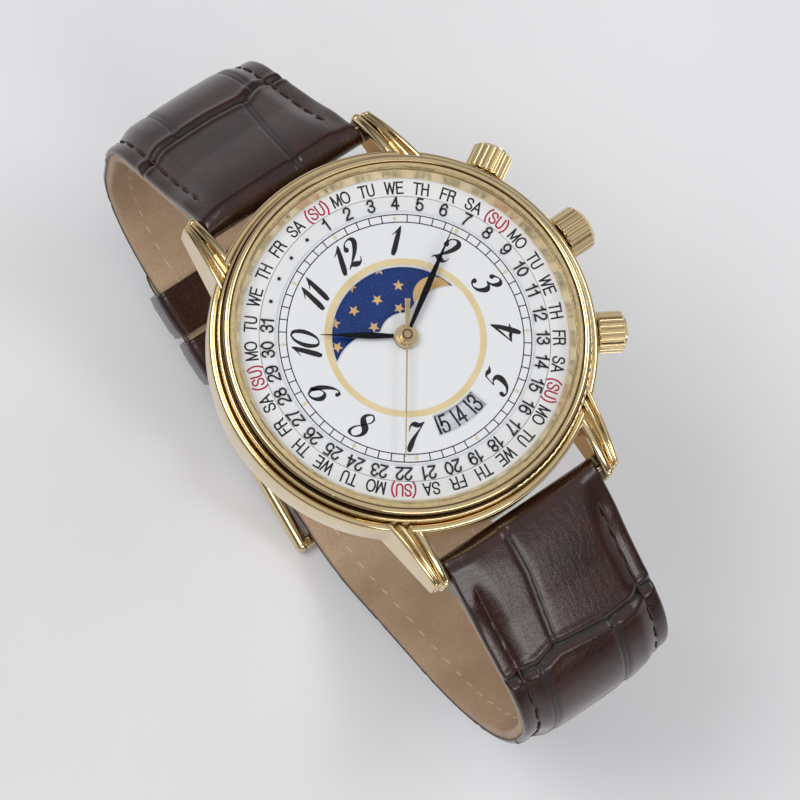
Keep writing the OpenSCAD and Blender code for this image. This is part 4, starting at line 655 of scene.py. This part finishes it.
def make_dial_print():
    """The minute track, the numerals and the rings on the dial."""
    black = Shape()
    for radius in TRACK_RINGS:
        black.annulus(radius - 0.05, radius + 0.05, DIAL_Z, DIAL_Z + PRINT)
    for minute in range(60):
        if minute % 5:
            tick(black, 6 * minute, 0, 0.05, 0.37)
        else:
            for offset in (-0.31, 0.31):
                tick(black, 6 * minute, offset, 0.03, 0.06)
    for hour in (9, 10, 11, 12, 1, 2, 3, 4, 5, 7, 8):
        outward = hour in (9, 10, 11, 12, 1, 2, 3)
        draw_number(black, str(hour), NUMERAL_H, around(NUMERAL_R, 30 * hour, outward), DIAL_Z)
    for day in range(PLACES):
        spot = around(RIM_DATE_R, day * 360 / PLACES)
        if day < DATES:
            write(black, str(day + 1), RIM_DATE_H, spot, DIAL_Z, 0.98, 0.15)
        else:
            black.disc(spot[0].x, spot[0].y, 0.17, DIAL_Z, DIAL_Z + PRINT)
    black.piece("dial_print_black", ink_black, "case")

    grey = Shape()
    for radius in EDGE_RINGS:
        grey.annulus(radius - 0.015, radius + 0.015, DIAL_Z, DIAL_Z + PRINT / 2)
    grey.piece("dial_ring_lines", disc_white, "case", "dial_white")

    pale = Shape()
    pale.annulus(*GOLD_RING, DIAL_Z, DIAL_Z + PRINT)
    pale.piece("dial_gold_ring", ink_gold, "case", "gold_satin")

    dots = Shape()
    for hour in range(12):
        place = around(TRACK_R, 30 * hour)[0]
        dots.disc(place.x, place.y, 0.15, DIAL_Z, DIAL_Z + 0.05)
    dots.piece("dial_hour_dots", ink_gold, "case", "gold_satin")


def make_weekday_print():
    """Seven weekdays five times round the turning ring, Sunday in crimson."""
    days = ["(SU)", "MO", "TU", "WE", "TH", "FR", "SA"]
    black = Shape()
    crimson = Shape()
    for place in range(PLACES):
        day = days[place % len(days)]
        shape = crimson if day == "(SU)" else black
        write(shape, day, WEEKDAY_H, around(WEEKDAY_R, place * 360 / PLACES), RING_Z, 0.9, 0.15)
    black.piece("weekday_letters", ink_black, "weekday_ring")
    crimson.piece("sunday_letters", ink_crimson, "weekday_ring")


def make_date_print():
    """The 31 dates on the date disc, upright in the window at 6 o'clock."""
    black = Shape()
    for date in range(1, DATES + 1):
        spot = around(WINDOW_DATE_R, 180 + (date - SHOWN_DATE) * 360 / DATES, False)
        write(black, str(date).replace("1", "l"), WINDOW_DATE_H, spot, DATE_DISC_Z, 0.72, 0.12)
    black.piece("date_numerals", ink_black, "date_disc")


def make_moon_print():
    """Two gold moons and scattered five-pointed stars on the blue disc, the second half like the first."""
    stars = [(5.42, -27, 10), (4.48, -0.5, 4), (5.14, 28.2, 36), (3.09, -35.4, 0), (2.95, 24.5, 14),
             (6.71, -44.1, 30), (6.42, -63.9, 8), (7.0, -11.6, 20), (7.0, 14.6, 40)]
    gold_marks = Shape()
    for half in (0, 180):
        for radius, angle, turn in stars:
            place = around(radius, angle + half)[0]
            points = []
            for k in range(10):
                a = math.radians(turn + half + 36 * k)
                reach = STAR_REACH[k % 2]
                x = place.x - reach * math.sin(a)
                y = place.y + reach * math.cos(a)
                points.append((x, y, MOON_DISC_Z + 0.008))
            points.append((place.x, place.y, MOON_DISC_Z + 0.03))
            gold_marks.add(points, [(k, (k + 1) % 10, 10) for k in range(10)])
        place = around(MOON_PLACE_R, 67.5 + half)[0]
        gold_marks.disc(place.x, place.y, MOON_R, MOON_DISC_Z, MOON_DISC_Z + PRINT, 72)
    gold_marks.piece("moons_and_stars", star_gold, "moon_disc", "gold_satin")


# Strap

def direction(angle):
    a = math.radians(angle)
    return np.array([math.cos(a), math.sin(a)])


def arc(centre, radius, start, end, side=1):
    """Points of an arc, each with the outward direction there."""
    count = max(2, round(abs(end - start) / 2))
    angles = [start + (end - start) * i / count for i in range(count + 1)]
    return [np.concatenate([np.array(centre) + radius * direction(a), side * direction(a)]) for a in angles]


def on_back(points):
    """Points given in the frame of the loop's tilted back, taken to the part's frame."""
    along = direction(BACK_TILT)
    inward = direction(BACK_TILT + 90)
    return [np.concatenate([BAR_BACK + p[0] * along + p[1] * inward, p[2] * along + p[3] * inward])
            for p in points]


def tangent_centre(y, radius, out, through):
    """The centre at that y of a bend whose straight end runs through a point, outward direction given."""
    across, upward = direction(out)
    return np.array([y, (direction(out) @ through - radius - across * y) / upward])


HALF_T = STRAP_T / 2
SKIN = HALF_T - LINING_T
SWELL = STRAP_END_T / STRAP_T - 1
SWELL_RUN = 8
BAR_BACK = np.array([BUCKLE_BAR_Y, -BAR_DEPTH])
UPPER_BAR = np.array([BAR_Y, BAR_Z])
LOWER_BAR = np.array([-BAR_Y, BAR_Z])
UPPER_OUT = 90 - UPPER_FALL
LOWER_OUT = 90 + LOWER_FALL
BACK_OUT = BACK_TILT - 90
UPPER_BACK_R = 13
UPPER_BEND_R = 9.5
LOWER_BEND_R = 8.5
KNEE_R = 24
KNEE_TURN = 60
KNEE_DROP = 2.2
HEEL_R = 10
HEEL_LEVEL = -0.7
BEND_RUN = 8
TAIL_TURN = 24
TAIL_GAP = 0.3

upper_bend = tangent_centre(UPPER_REACH - UPPER_BEND_R, UPPER_BEND_R, UPPER_OUT, UPPER_BAR)
upper_back = tangent_centre(UPPER_REACH - UPPER_BACK_R, UPPER_BACK_R, BACK_OUT, BAR_BACK)
lower_bend = tangent_centre(LOWER_BEND_R - LOWER_REACH, LOWER_BEND_R, LOWER_OUT, LOWER_BAR)
knee = np.array([KNEE_R - LOWER_REACH, lower_bend[1] - KNEE_DROP])
heel_out = 180 + KNEE_TURN - BACK_TILT
heel_y = (direction(180 + KNEE_TURN) @ (knee - BAR_BACK) + KNEE_R - HEEL_R
          - direction(heel_out)[1] * (HEEL_LEVEL + HEEL_R)) / direction(heel_out)[0]
heel = np.array([heel_y, HEEL_LEVEL + HEEL_R])
tail_level = -STRAP_T - TAIL_GAP
bend_turn = 2 * math.degrees(math.atan((HEEL_LEVEL - tail_level) / BEND_RUN))
bend_r = BEND_RUN / (2 * math.sin(math.radians(bend_turn)))
bend_end_y = heel_y + BEND_RUN

upper_line = (
    [np.concatenate([UPPER_BAR, direction(UPPER_OUT)])]
    + arc(upper_bend, UPPER_BEND_R, UPPER_OUT, 0)
    + arc(upper_back, UPPER_BACK_R, 0, BACK_OUT)
    + [np.concatenate([BAR_BACK, direction(BACK_OUT)])])
lower_line = (
    [np.concatenate([LOWER_BAR, direction(LOWER_OUT)])]
    + arc(lower_bend, LOWER_BEND_R, LOWER_OUT, 180)
    + arc(knee, KNEE_R, 180, 180 + KNEE_TURN)
    + on_back(arc(heel, HEEL_R, heel_out, 270)
              + arc((heel_y, HEEL_LEVEL - bend_r), bend_r, 90, 90 - bend_turn, -1)
              + arc((bend_end_y, tail_level + bend_r), bend_r, 270 - bend_turn, 270))
    + arc(upper_back, UPPER_BACK_R - tail_level, BACK_OUT, BACK_OUT + TAIL_TURN))


class Band:
    """A strap half's centre line: places along it by the length from the spring bar."""

    def __init__(self, line, bar, turn):
        kept = [line[0]] + [q for p, q in zip(line, line[1:]) if np.linalg.norm(q[:2] - p[:2]) > 1e-6]
        self.line = np.array(kept)
        steps = np.linalg.norm(np.diff(self.line[:, :2], axis=0), axis=1)
        self.at = np.concatenate([[0], np.cumsum(steps)])
        self.length = self.at[-1]
        self.bar = bar
        self.turn = turn

    def place(self, s):
        """(y, z) and the outward direction at a length along the line."""
        values = [np.interp(s, self.at, self.line[:, k]) for k in range(4)]
        out = np.array(values[2:])
        return np.array(values[:2]), out / np.linalg.norm(out)

    def thick(self, s):
        """How much thicker than its borders the strap is there."""
        return 1 + SWELL * math.cos(math.pi / 2 * min(s, SWELL_RUN) / SWELL_RUN) ** 2

    def half_width(self, s):
        z = self.place(s)[0][1]
        return LUG_HALF_W + (END_HALF_W - LUG_HALF_W) * min(1, max(0, -z / BAR_DEPTH))

    def tip_share(self, s):
        """The share of its width that the strap keeps in its rounded tip."""
        beyond = max(0, (s - (self.length - TIP_RUN)) / TIP_RUN)
        return math.sqrt(max(0.03, 1 - beyond ** 2.4))


def smooth(value, start, end):
    t = min(1, max(0, (value - start) / (end - start)))
    return t * t * (3 - 2 * t)


def line_distance(u, s, polyline):
    """The distance from a point on the strap to a groove's polyline."""
    best = 99
    for (u0, s0), (u1, s1) in zip(polyline, polyline[1:]):
        du, ds = u1 - u0, s1 - s0
        t = min(1, max(0, ((u - u0) * du + (s - s0) * ds) / (du * du + ds * ds)))
        best = min(best, math.hypot(u - u0 - t * du, s - s0 - t * ds))
    return best


def bell(distance, width):
    return math.exp(-(distance / width) ** 2)


def groove_depth(distance, fine):
    """The depth of a groove at a distance from its line: a fine one is two lines with a ridge between."""
    if fine:
        return 0.16 * bell(distance - 0.24, 0.13) + 0.05 * bell(distance, 0.5)
    return BROAD_DEPTH * bell(distance, 0.34) - 0.10 * bell(distance - 0.85, 0.35)


# The grooves between the scales: whether each is fine, and its points (across, along) on the strap
UPPER_GROOVES = [
    (True, [(2.0, -1), (2.6, 5), (3.3, 10), (3.7, 12.6)]),
    (False, [(-8.9, 12.6), (-6.5, 13.3), (0, 13.2), (3.7, 12.7), (5.6, 13.7), (7, 14.1), (8.9, 13.5)]),
    (True, [(5.4, 14), (5.2, 18), (5.0, 25)]),
    (True, [(-3.4, 13.6), (-3.2, 19), (-3.6, 25)]),
    (False, [(-8.9, 24.6), (-4, 25.2), (0, 24.8), (4.5, 25.3), (8.9, 24.8)]),
    (True, [(1.2, 25), (1.0, 30), (1.4, 36)]),
    (False, [(-8.9, 36), (-3, 35.6), (2, 36.3), (8.9, 35.8)]),
    (True, [(-2.2, 36), (-2.4, 41), (-2.0, 46)]),
    (True, [(4.2, 36), (4.0, 41), (4.4, 46)]),
    (False, [(-8.9, 46), (0, 45.6), (8.9, 46.2)]),
    (True, [(0.8, 46), (0.6, 54)]),
    (False, [(-8.9, 54), (0, 54.4), (8.9, 53.8)]),
]
LOWER_GROOVES = [
    (True, [(-2.2, -1), (-2.1, 4), (-2.6, 9), (-2.9, 12.2)]),
    (False, [(-8.9, 12.9), (-5, 12.8), (-3, 12.2), (0, 12.6), (3, 13), (6, 12.9), (8.9, 12.4)]),
    (True, [(-5.2, 13.2), (-5.3, 20), (-5.0, 26)]),
    (True, [(3.2, 13.4), (3.0, 19), (3.4, 26)]),
    (False, [(-8.9, 26.3), (-3, 26.6), (2, 26.0), (8.9, 26.5)]),
    (True, [(-1.2, 26.4), (-1.0, 33), (-1.5, 38)]),
    (False, [(-8.9, 38), (-4, 38.5), (2, 38.0), (8.9, 38.3)]),
    (True, [(-3.6, 38.4), (-3.4, 48)]),
    (True, [(2.8, 38.2), (3.0, 48)]),
    (False, [(-8.9, 48.2), (0, 48.6), (8.9, 48.0)]),
    (True, [(0.2, 48.4), (0.0, 57)]),
    (False, [(-8.9, 57.2), (0, 56.8), (8.9, 57.4)]),
    (True, [(-3.0, 57), (-3.2, 65)]),
    (True, [(3.1, 57), (3.0, 65)]),
    (False, [(-8.9, 65), (0, 65.4), (8.9, 64.8)]),
    (True, [(0.3, 65), (0.4, 73)]),
    (False, [(-8.9, 73), (0, 72.6), (8.9, 73.2)]),
    (False, [(-8.9, 81), (0, 81.4), (8.9, 80.8)]),
    (False, [(-8.9, 89), (0, 88.6), (8.9, 89.2)]),
]


def outer_level(band, u, s, half, grooves, pad_end):
    """The height of the strap's outer face over its centre line, and how deep in a groove it is."""
    height = HALF_T * band.thick(s)
    cushion = PAD_H * smooth(s, -2, 7) * (1 - smooth(s, pad_end - 5, pad_end))
    across = 1 - smooth(abs(u), half - 3.3, half - 1.2)
    crown = 0.25 * max(0, 1 - (u / (half - 2)) ** 2)
    height += cushion * (0.75 * across + crown)
    near_lug = 1 - smooth(s, 0.5, 4.5)
    height -= 0.35 * near_lug * smooth(abs(u), half - 2.5, half)
    height -= 0.14 * smooth(s, 2, 3.5) * bell(abs(u) - (half - STITCH_INSET), 0.3)
    crease = 0
    for fine, line in grooves:
        low = min(p[1] for p in line) - 2
        high = max(p[1] for p in line) + 2
        if low < s < high:
            depth = groove_depth(line_distance(u, s, line), fine)
            height -= depth
            crease = max(crease, depth / (FINE_DEPTH if fine else BROAD_DEPTH))
    beyond = max(0, abs(u) - (half - EDGE_R))
    height -= EDGE_R - math.sqrt(max(0, EDGE_R ** 2 - beyond ** 2))
    return height, crease


def columns(count, edge):
    """Shares of the half width across the strap, closer at both edges."""
    return [-e for e in reversed(edge)] + list(np.linspace(-0.94, 0.94, count)) + edge


def sweep(name, rings, finish, slot):
    """A closed skin from rings of points along the strap."""
    shape = Shape()
    shape.loft(rings)
    return shape.piece(name, finish, "case", slot, smooth=True)


def strap_leather(name, band, grooves, pad_end, tip, step=0.24):
    """The outer leather of a strap half, folded round the spring bar, with its cushion and scales."""
    share = columns(96, [0.97, 0.982, 0.991, 0.997, 1.0])
    rings, creases = [], []
    count = int(band.length / step)
    bar_radius = HALF_T * band.thick(0) - 0.02
    out = band.place(0)[1]
    back = np.array([out[1], -out[0]]) * band.turn
    half = band.half_width(0)
    for i in range(FOLD_STEPS, 0, -1):
        a = math.pi / 2 * i / FOLD_STEPS
        behind = back * bar_radius * math.sin(a)
        ring, low = [], []
        for u in (c * half for c in share):
            height = outer_level(band, u, 0, half, grooves, pad_end)[0]
            ring.append((u, *(band.bar + out * height * math.cos(a) - behind)))
            low.append((u, *(band.bar - out * bar_radius * math.cos(a) - behind)))
        rings.append(ring + low[::-1])
        creases.extend([0.0] * 2 * len(share))
    for i in range(count + 1):
        s = band.length * i / count
        centre, out = band.place(s)
        full = band.half_width(s)
        half = full * band.tip_share(s) if tip else full
        level_half = half if half < full - 0.3 else full
        under = -HALF_T * band.thick(s) + 0.02 if s < TAB_START else SKIN
        ring, low, values = [], [], []
        for u in (c * half for c in share):
            height, crease = outer_level(band, u, s, level_half, grooves, pad_end)
            ring.append((u, *(centre + out * height)))
            low.append((u, *(centre + out * under)))
            values.append(crease)
        rings.append(ring + low[::-1])
        creases.extend(values + [0.0] * len(share))
    made = sweep(name, rings, leather, "leather")
    # How deep in a groove each point lies: the leather's finish reads it for painted shade and a duller
    # surface
    layer = made.data.attributes.new("crease", "FLOAT", "POINT")
    layer.data.foreach_set("value", np.array(creases, np.float32))
    return made


def strap_lining(name, band, tip, end, step=0.6):
    """The tan lining sewn under the leather, from the fold's end on."""
    share = columns(28, [0.982, 0.991, 0.997, 1.0])
    rings = []
    start = TAB_START + 0.02
    count = int((end - TAB_START) / step)
    for i in range(count + 1):
        s = start + (end - start) * i / count
        centre, out = band.place(s)
        half = band.half_width(s) - 0.06
        if tip:
            half *= band.tip_share(s)
        ring, low = [], []
        for u in (c * half for c in share):
            beyond = max(0, abs(u) - (half - LINING_EDGE_R))
            level = -HALF_T * band.thick(s) + LINING_EDGE_R
            level -= math.sqrt(max(0, LINING_EDGE_R ** 2 - beyond ** 2))
            level += 0.05 * bell(abs(u) - (half - LINING_INSET), 0.25)
            ring.append((u, *(centre + out * (SKIN - 0.01))))
            low.append((u, *(centre + out * level)))
        rings.append(ring + low[::-1])
    return sweep(name, rings, lining, "lining")


def stitches(name, band, finish, inset, start, end, pitch, long, level, slot):
    """A row of stitches along each edge: small thread loops pulled into the leather."""
    shape = Shape()
    rows, turns = 5, 8
    for side in (-1, 1):
        s = start
        while s < end:
            centre, out = band.place(s)
            along = np.array([-out[1], out[0]])
            half = band.half_width(s)
            rings = []
            for i in range(rows + 1):
                share = -1 + 2 * i / rows
                reach = math.sqrt(max(0.1, 1 - share ** 6))
                middle = side * (half - inset + 0.06 * share)
                ring = []
                for k in range(turns):
                    a = 2 * math.pi * k / turns
                    height = level(s) + 0.13 * reach * math.sin(a) + 0.05 * reach
                    spot = centre + along * share * long / 2 + out * height
                    ring.append((middle + 0.12 * reach * math.cos(a), *spot))
                rings.append(ring)
            shape.loft(rings)
            s += pitch
    return shape.piece(name, finish, "case", slot, smooth=True)


def back_matrix():
    """The frame of the loop's tilted back, in metres."""
    place = Matrix.Translation(Vector((0, BAR_BACK[0], BAR_BACK[1])) * MM)
    return place @ Matrix.Rotation(math.radians(BACK_TILT), 4, "X")


def from_back(points):
    """Points given in millimetres in the frame of the loop's tilted back, taken to the part's frame."""
    matrix = back_matrix()
    return [matrix @ (Vector(p) * MM) / MM for p in points]


def hole_form(place, turn, steps=24):
    """A closed tube through the strap at (y, z) in the frame of the loop's back, leaning in degrees."""
    lean = Matrix.Rotation(math.radians(turn), 4, "X")
    rings = []
    for z in (-HOLE_REACH, HOLE_REACH):
        ring = []
        for k in range(steps):
            a = 2 * math.pi * k / steps
            spot = Vector((HOLE_D / 2 * math.cos(a), HOLE_D / 2 * math.sin(a), z))
            ring.append(lean @ spot + Vector((0, *place)))
        rings.append(ring)
    form = Shape()
    form.loft(rings)
    return form


def box_form(low, high):
    """A closed box between two corners."""
    outline = ((low[0], low[1]), (high[0], low[1]), (high[0], high[1]), (low[0], high[1]))
    form = Shape()
    form.loft([[(x, y, z) for x, y in outline] for z in (low[2], high[2])])
    return form


def cut(pieces, forms):
    """Cuts closed forms, given in the frame of the loop's back, out of pieces."""
    for number, form in enumerate(forms):
        mesh = make_mesh(f"cutter_{number}", form.points, form.faces)
        mesh.transform(back_matrix())
        mesh.update()
        cutter = make_object(f"cutter_{number}", mesh)
        for piece in pieces:
            change = piece.modifiers.new("cut", "BOOLEAN")
            change.operation = "DIFFERENCE"
            change.solver = "EXACT"
            change.object = cutter
            bpy.context.view_layer.update()
            done = bpy.data.meshes.new_from_object(piece.evaluated_get(bpy.context.evaluated_depsgraph_get()))
            piece.modifiers.remove(change)
            piece.data = done
        bpy.data.objects.remove(cutter)
        bpy.data.meshes.remove(mesh)


def hole_forms():
    """The adjustment holes, each a place in the frame of the loop's back and a lean, and the tang's slot."""
    flat_path = USED_HOLE_Y - bend_end_y + 2 * bend_r * math.radians(bend_turn)
    heel_path = HEEL_R * math.radians(270 - heel_out)
    turned = math.degrees((2 * HOLE_STEP - flat_path) / HEEL_R)
    spots = [((USED_HOLE_Y + k * HOLE_STEP, tail_level), 0) for k in (1, 2)]
    spots.append(((USED_HOLE_Y - HOLE_STEP, (HEEL_LEVEL + tail_level) / 2), 0))
    spots.append((tuple(heel + HEEL_R * direction(270 - turned)), -turned))
    slope = heel + HEEL_R * direction(heel_out)
    for k in (3, 4):
        run = k * HOLE_STEP - flat_path - heel_path
        spots.append((tuple(slope + run * direction(heel_out - 90)), heel_out - 270))
    half = TANG_W / 2 + SOFT_GAP
    low = (-half, USED_HOLE_Y - 1.2, tail_level - 2)
    high = (half, USED_HOLE_Y + 2, tail_level + 1.1)
    return [hole_form(spot, turn) for spot, turn in spots] + [box_form(low, high)]


def rounded_box_ring(half_x, low, high, radius, steps=8):
    """A rounded rectangle's points around a keeper's opening, each with its outward direction."""
    corners = [(half_x - radius, high - radius, 0), (-half_x + radius, high - radius, 90),
               (-half_x + radius, low + radius, 180), (half_x - radius, low + radius, 270)]
    return [((x, z), direction(start + 90 * i / steps)) for x, z, start in corners for i in range(steps + 1)]


def make_keeper(name, y, body):
    """A leather keeper: a folded band with rounded edges and pressed lines along its rims."""
    low = tail_level - HALF_T - SOFT_GAP
    high = HALF_T + SOFT_GAP
    profile = []
    for k in range(28):
        a = 2 * math.pi * k / 28
        across = math.copysign(abs(math.cos(a)) ** 0.35, math.cos(a))
        through = math.copysign(abs(math.sin(a)) ** 0.5, math.sin(a))
        profile.append((KEEPER_W / 2 * (1 + across), KEEPER_T / 2 * (1 + through)))
    rings = []
    for (x, z), out in rounded_box_ring(END_HALF_W + SOFT_GAP, low, high, 0.5):
        ring = []
        for along, depth in profile:
            press = 0.06 if depth > KEEPER_T * 0.9 and min(along, KEEPER_W - along) < 0.75 else 0
            reach = depth - press
            ring.append((x + out[0] * reach, y + along, z + out[1] * reach))
        rings.append(from_back(ring))
    shape = Shape()
    shape.loft(rings, flip=True, closed=True)
    made = shape.piece(name + "_leather", leather, body, "leather", smooth=True)
    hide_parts(name)
    return made


def make_bar_loop():
    """The strap's fold round the buckle's bar, in two lugs beside the tang's slot."""
    shape = Shape()
    inner, outer, rim = 0.6, 1.0, 0.9
    edge = TANG_W / 2 + SOFT_GAP
    profile = [(edge, rim), (edge + 0.15, outer), (END_HALF_W - 0.2, outer), (END_HALF_W, rim),
               (END_HALF_W, inner), (END_HALF_W - 0.2, inner), (edge + 0.15, inner), (edge, inner)]
    turns = [math.radians(70 + 220 * i / 20) for i in range(21)]
    for side in (-1, 1):
        rings = [from_back([(side * x, r * math.cos(a), r * math.sin(a)) for x, r in profile]) for a in turns]
        shape.loft(rings, flip=side > 0)
    return shape.piece("strap_bar_loop", leather, "case", "leather", smooth=True)


def make_strap():
    upper = Band(upper_line, UPPER_BAR, 1)
    lower = Band(lower_line, LOWER_BAR, -1)
    back_bend = np.linalg.norm(upper_bend + UPPER_BEND_R * direction(UPPER_OUT) - UPPER_BAR)
    back_bend += math.radians(UPPER_OUT) * UPPER_BEND_R + abs(upper_bend[1] - upper_back[1])
    upper_pad_end = back_bend + UPPER_BACK_R * math.radians(50)
    lower_pad_end = np.linalg.norm(lower_bend + LOWER_BEND_R * direction(LOWER_OUT) - LOWER_BAR)
    lower_pad_end += LOWER_BEND_R * math.radians(180 - LOWER_OUT) + KNEE_DROP
    lower_pad_end += KNEE_R * math.radians(KNEE_TURN - 6)
    top = strap_leather("strap_upper_leather", upper, UPPER_GROOVES, upper_pad_end, False)
    tail = strap_leather("strap_lower_leather", lower, LOWER_GROOVES, lower_pad_end, True)
    top_lining = strap_lining("strap_upper_tan", upper, False, upper.length - 1.3)
    tail_lining = strap_lining("strap_lower_tan", lower, True, lower.length - 0.1)
    slot_form = box_form((-TANG_W / 2 - SOFT_GAP, -2, -STRAP_T), (TANG_W / 2 + SOFT_GAP, 2.5, STRAP_T))
    bar_form = box_form((-9.5, -1.2, -STRAP_T), (9.5, 0.62, STRAP_T))
    cut([top, top_lining], [slot_form, bar_form])
    cut([tail, tail_lining], hole_forms())
    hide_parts("strap_upper")
    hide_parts("strap_lower")
    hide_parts("strap_upper_lining")
    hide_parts("strap_lower_lining")
    make_bar_loop()

    def on_top(s):
        return HALF_T * upper.thick(s) - 0.08

    def under(s):
        return -HALF_T * upper.thick(s) + 0.04

    rows = (("upper", upper, 3.2, upper.length - 4), ("lower", lower, 3.0, lower.length - 8))
    for half, band, first, last in rows:
        stitches("stitches_" + half, band, thread_dark, STITCH_INSET, first, last,
                 STITCH_PITCH, STITCH_LONG, on_top, "leather")
    for half, band, _, last in rows:
        stitches("lining_stitches_" + half, band, thread_light, LINING_INSET, 4, last,
                 LINING_PITCH, LINING_LONG, under, "lining")


# Stage

def make_floor_piece():
    """A wide pale sheet just under the lowest point."""
    z = cad_box[0][2] / MM - 0.05
    half_size, cells = 600, 12
    row = cells + 1
    along = [half_size * (2 * i / cells - 1) for i in range(row)]
    points = [(x, y, z) for x in along for y in along]
    faces = [(k, k + row, k + row + 1, k + 1) for i in range(cells) for k in range(i * row, i * row + cells)]
    mesh = make_mesh("floor", points, faces)
    mesh.materials.append(make_floor().material)
    make_object("floor", mesh)


def make_lamp(name, place, target, size, power):
    """A soft box that faces a target, both in millimetres."""
    data = bpy.data.lights.new(name, "AREA")
    data.shape = "RECTANGLE"
    data.size = size[0] * MM
    data.size_y = size[1] * MM
    data.energy = power
    lamp = make_object(name, data)
    lamp.location = Vector(place) * MM
    lamp.rotation_euler = (Vector(target) - Vector(place)).to_track_quat("-Z", "Y").to_euler()


def make_world():
    """A grey studio, pale at the floor's level, dark above it and light overhead, for bands in the metal."""
    world = bpy.data.worlds.new("studio")
    world.use_nodes = True
    tree = world.node_tree
    place = tree.nodes.new("ShaderNodeTexCoord")
    parts = tree.nodes.new("ShaderNodeSeparateXYZ")
    ramp = tree.nodes.new("ShaderNodeValToRGB")
    tree.links.new(place.outputs["Generated"], parts.inputs[0])
    tree.links.new(parts.outputs[2], ramp.inputs[0])
    stops = ramp.color_ramp.elements
    stops[1].position = 0.72
    for position in (0.09, 0.15, 0.24):
        stops.new(position)
    for stop, level in zip(stops, (0.5, 0.42, 0.04, 0.06, 0.62)):
        stop.color = (level, level, 1.02 * level, 1)
    tree.links.new(ramp.outputs[0], tree.nodes["Background"].inputs[0])
    bpy.context.scene.world = world


def make_camera():
    """The photograph's camera: its place and axes are fitted to the dial, with an 180 mm lens."""
    data = bpy.data.cameras.new("camera")
    data.lens = 180
    data.sensor_width = 36
    data.clip_start = 0.01
    data.clip_end = 10
    camera = make_object("camera", data)
    right = Vector((0.8093, -0.5731, 0.1291)).normalized()
    up = Vector((0.5375, 0.8110, 0.2310))
    back = right.cross(up).normalized()
    up = back.cross(right)
    turn = Matrix((right, up, back)).transposed()
    place = -(turn @ Vector((0.532, 5.812, -371.88))) + Vector((0, 0, DIAL_Z))
    camera.matrix_world = Matrix.Translation(place * MM) @ turn.to_4x4()
    bpy.context.scene.camera = camera


make_strap()
make_keeper("fixed_keeper", FIXED_KEEPER_Y, "case")
make_keeper("sliding_keeper", FIXED_KEEPER_Y - KEEPER_W - KEEPER_GAP, "sliding_keeper")
make_dial_print()
make_weekday_print()
make_date_print()
make_moon_print()

make_floor_piece()
make_lamp("key", (-160, 150, 330), (0, 0, -10), (220, 220), 0.78)
make_lamp("fill", (240, -60, 260), (0, 0, -10), (200, 120), 0.26)
make_lamp("front", (-60, -260, 160), (0, 0, -10), (260, 80), 0.26)
make_world()
make_camera()

scene = bpy.context.scene
scene.view_settings.view_transform = "Standard"
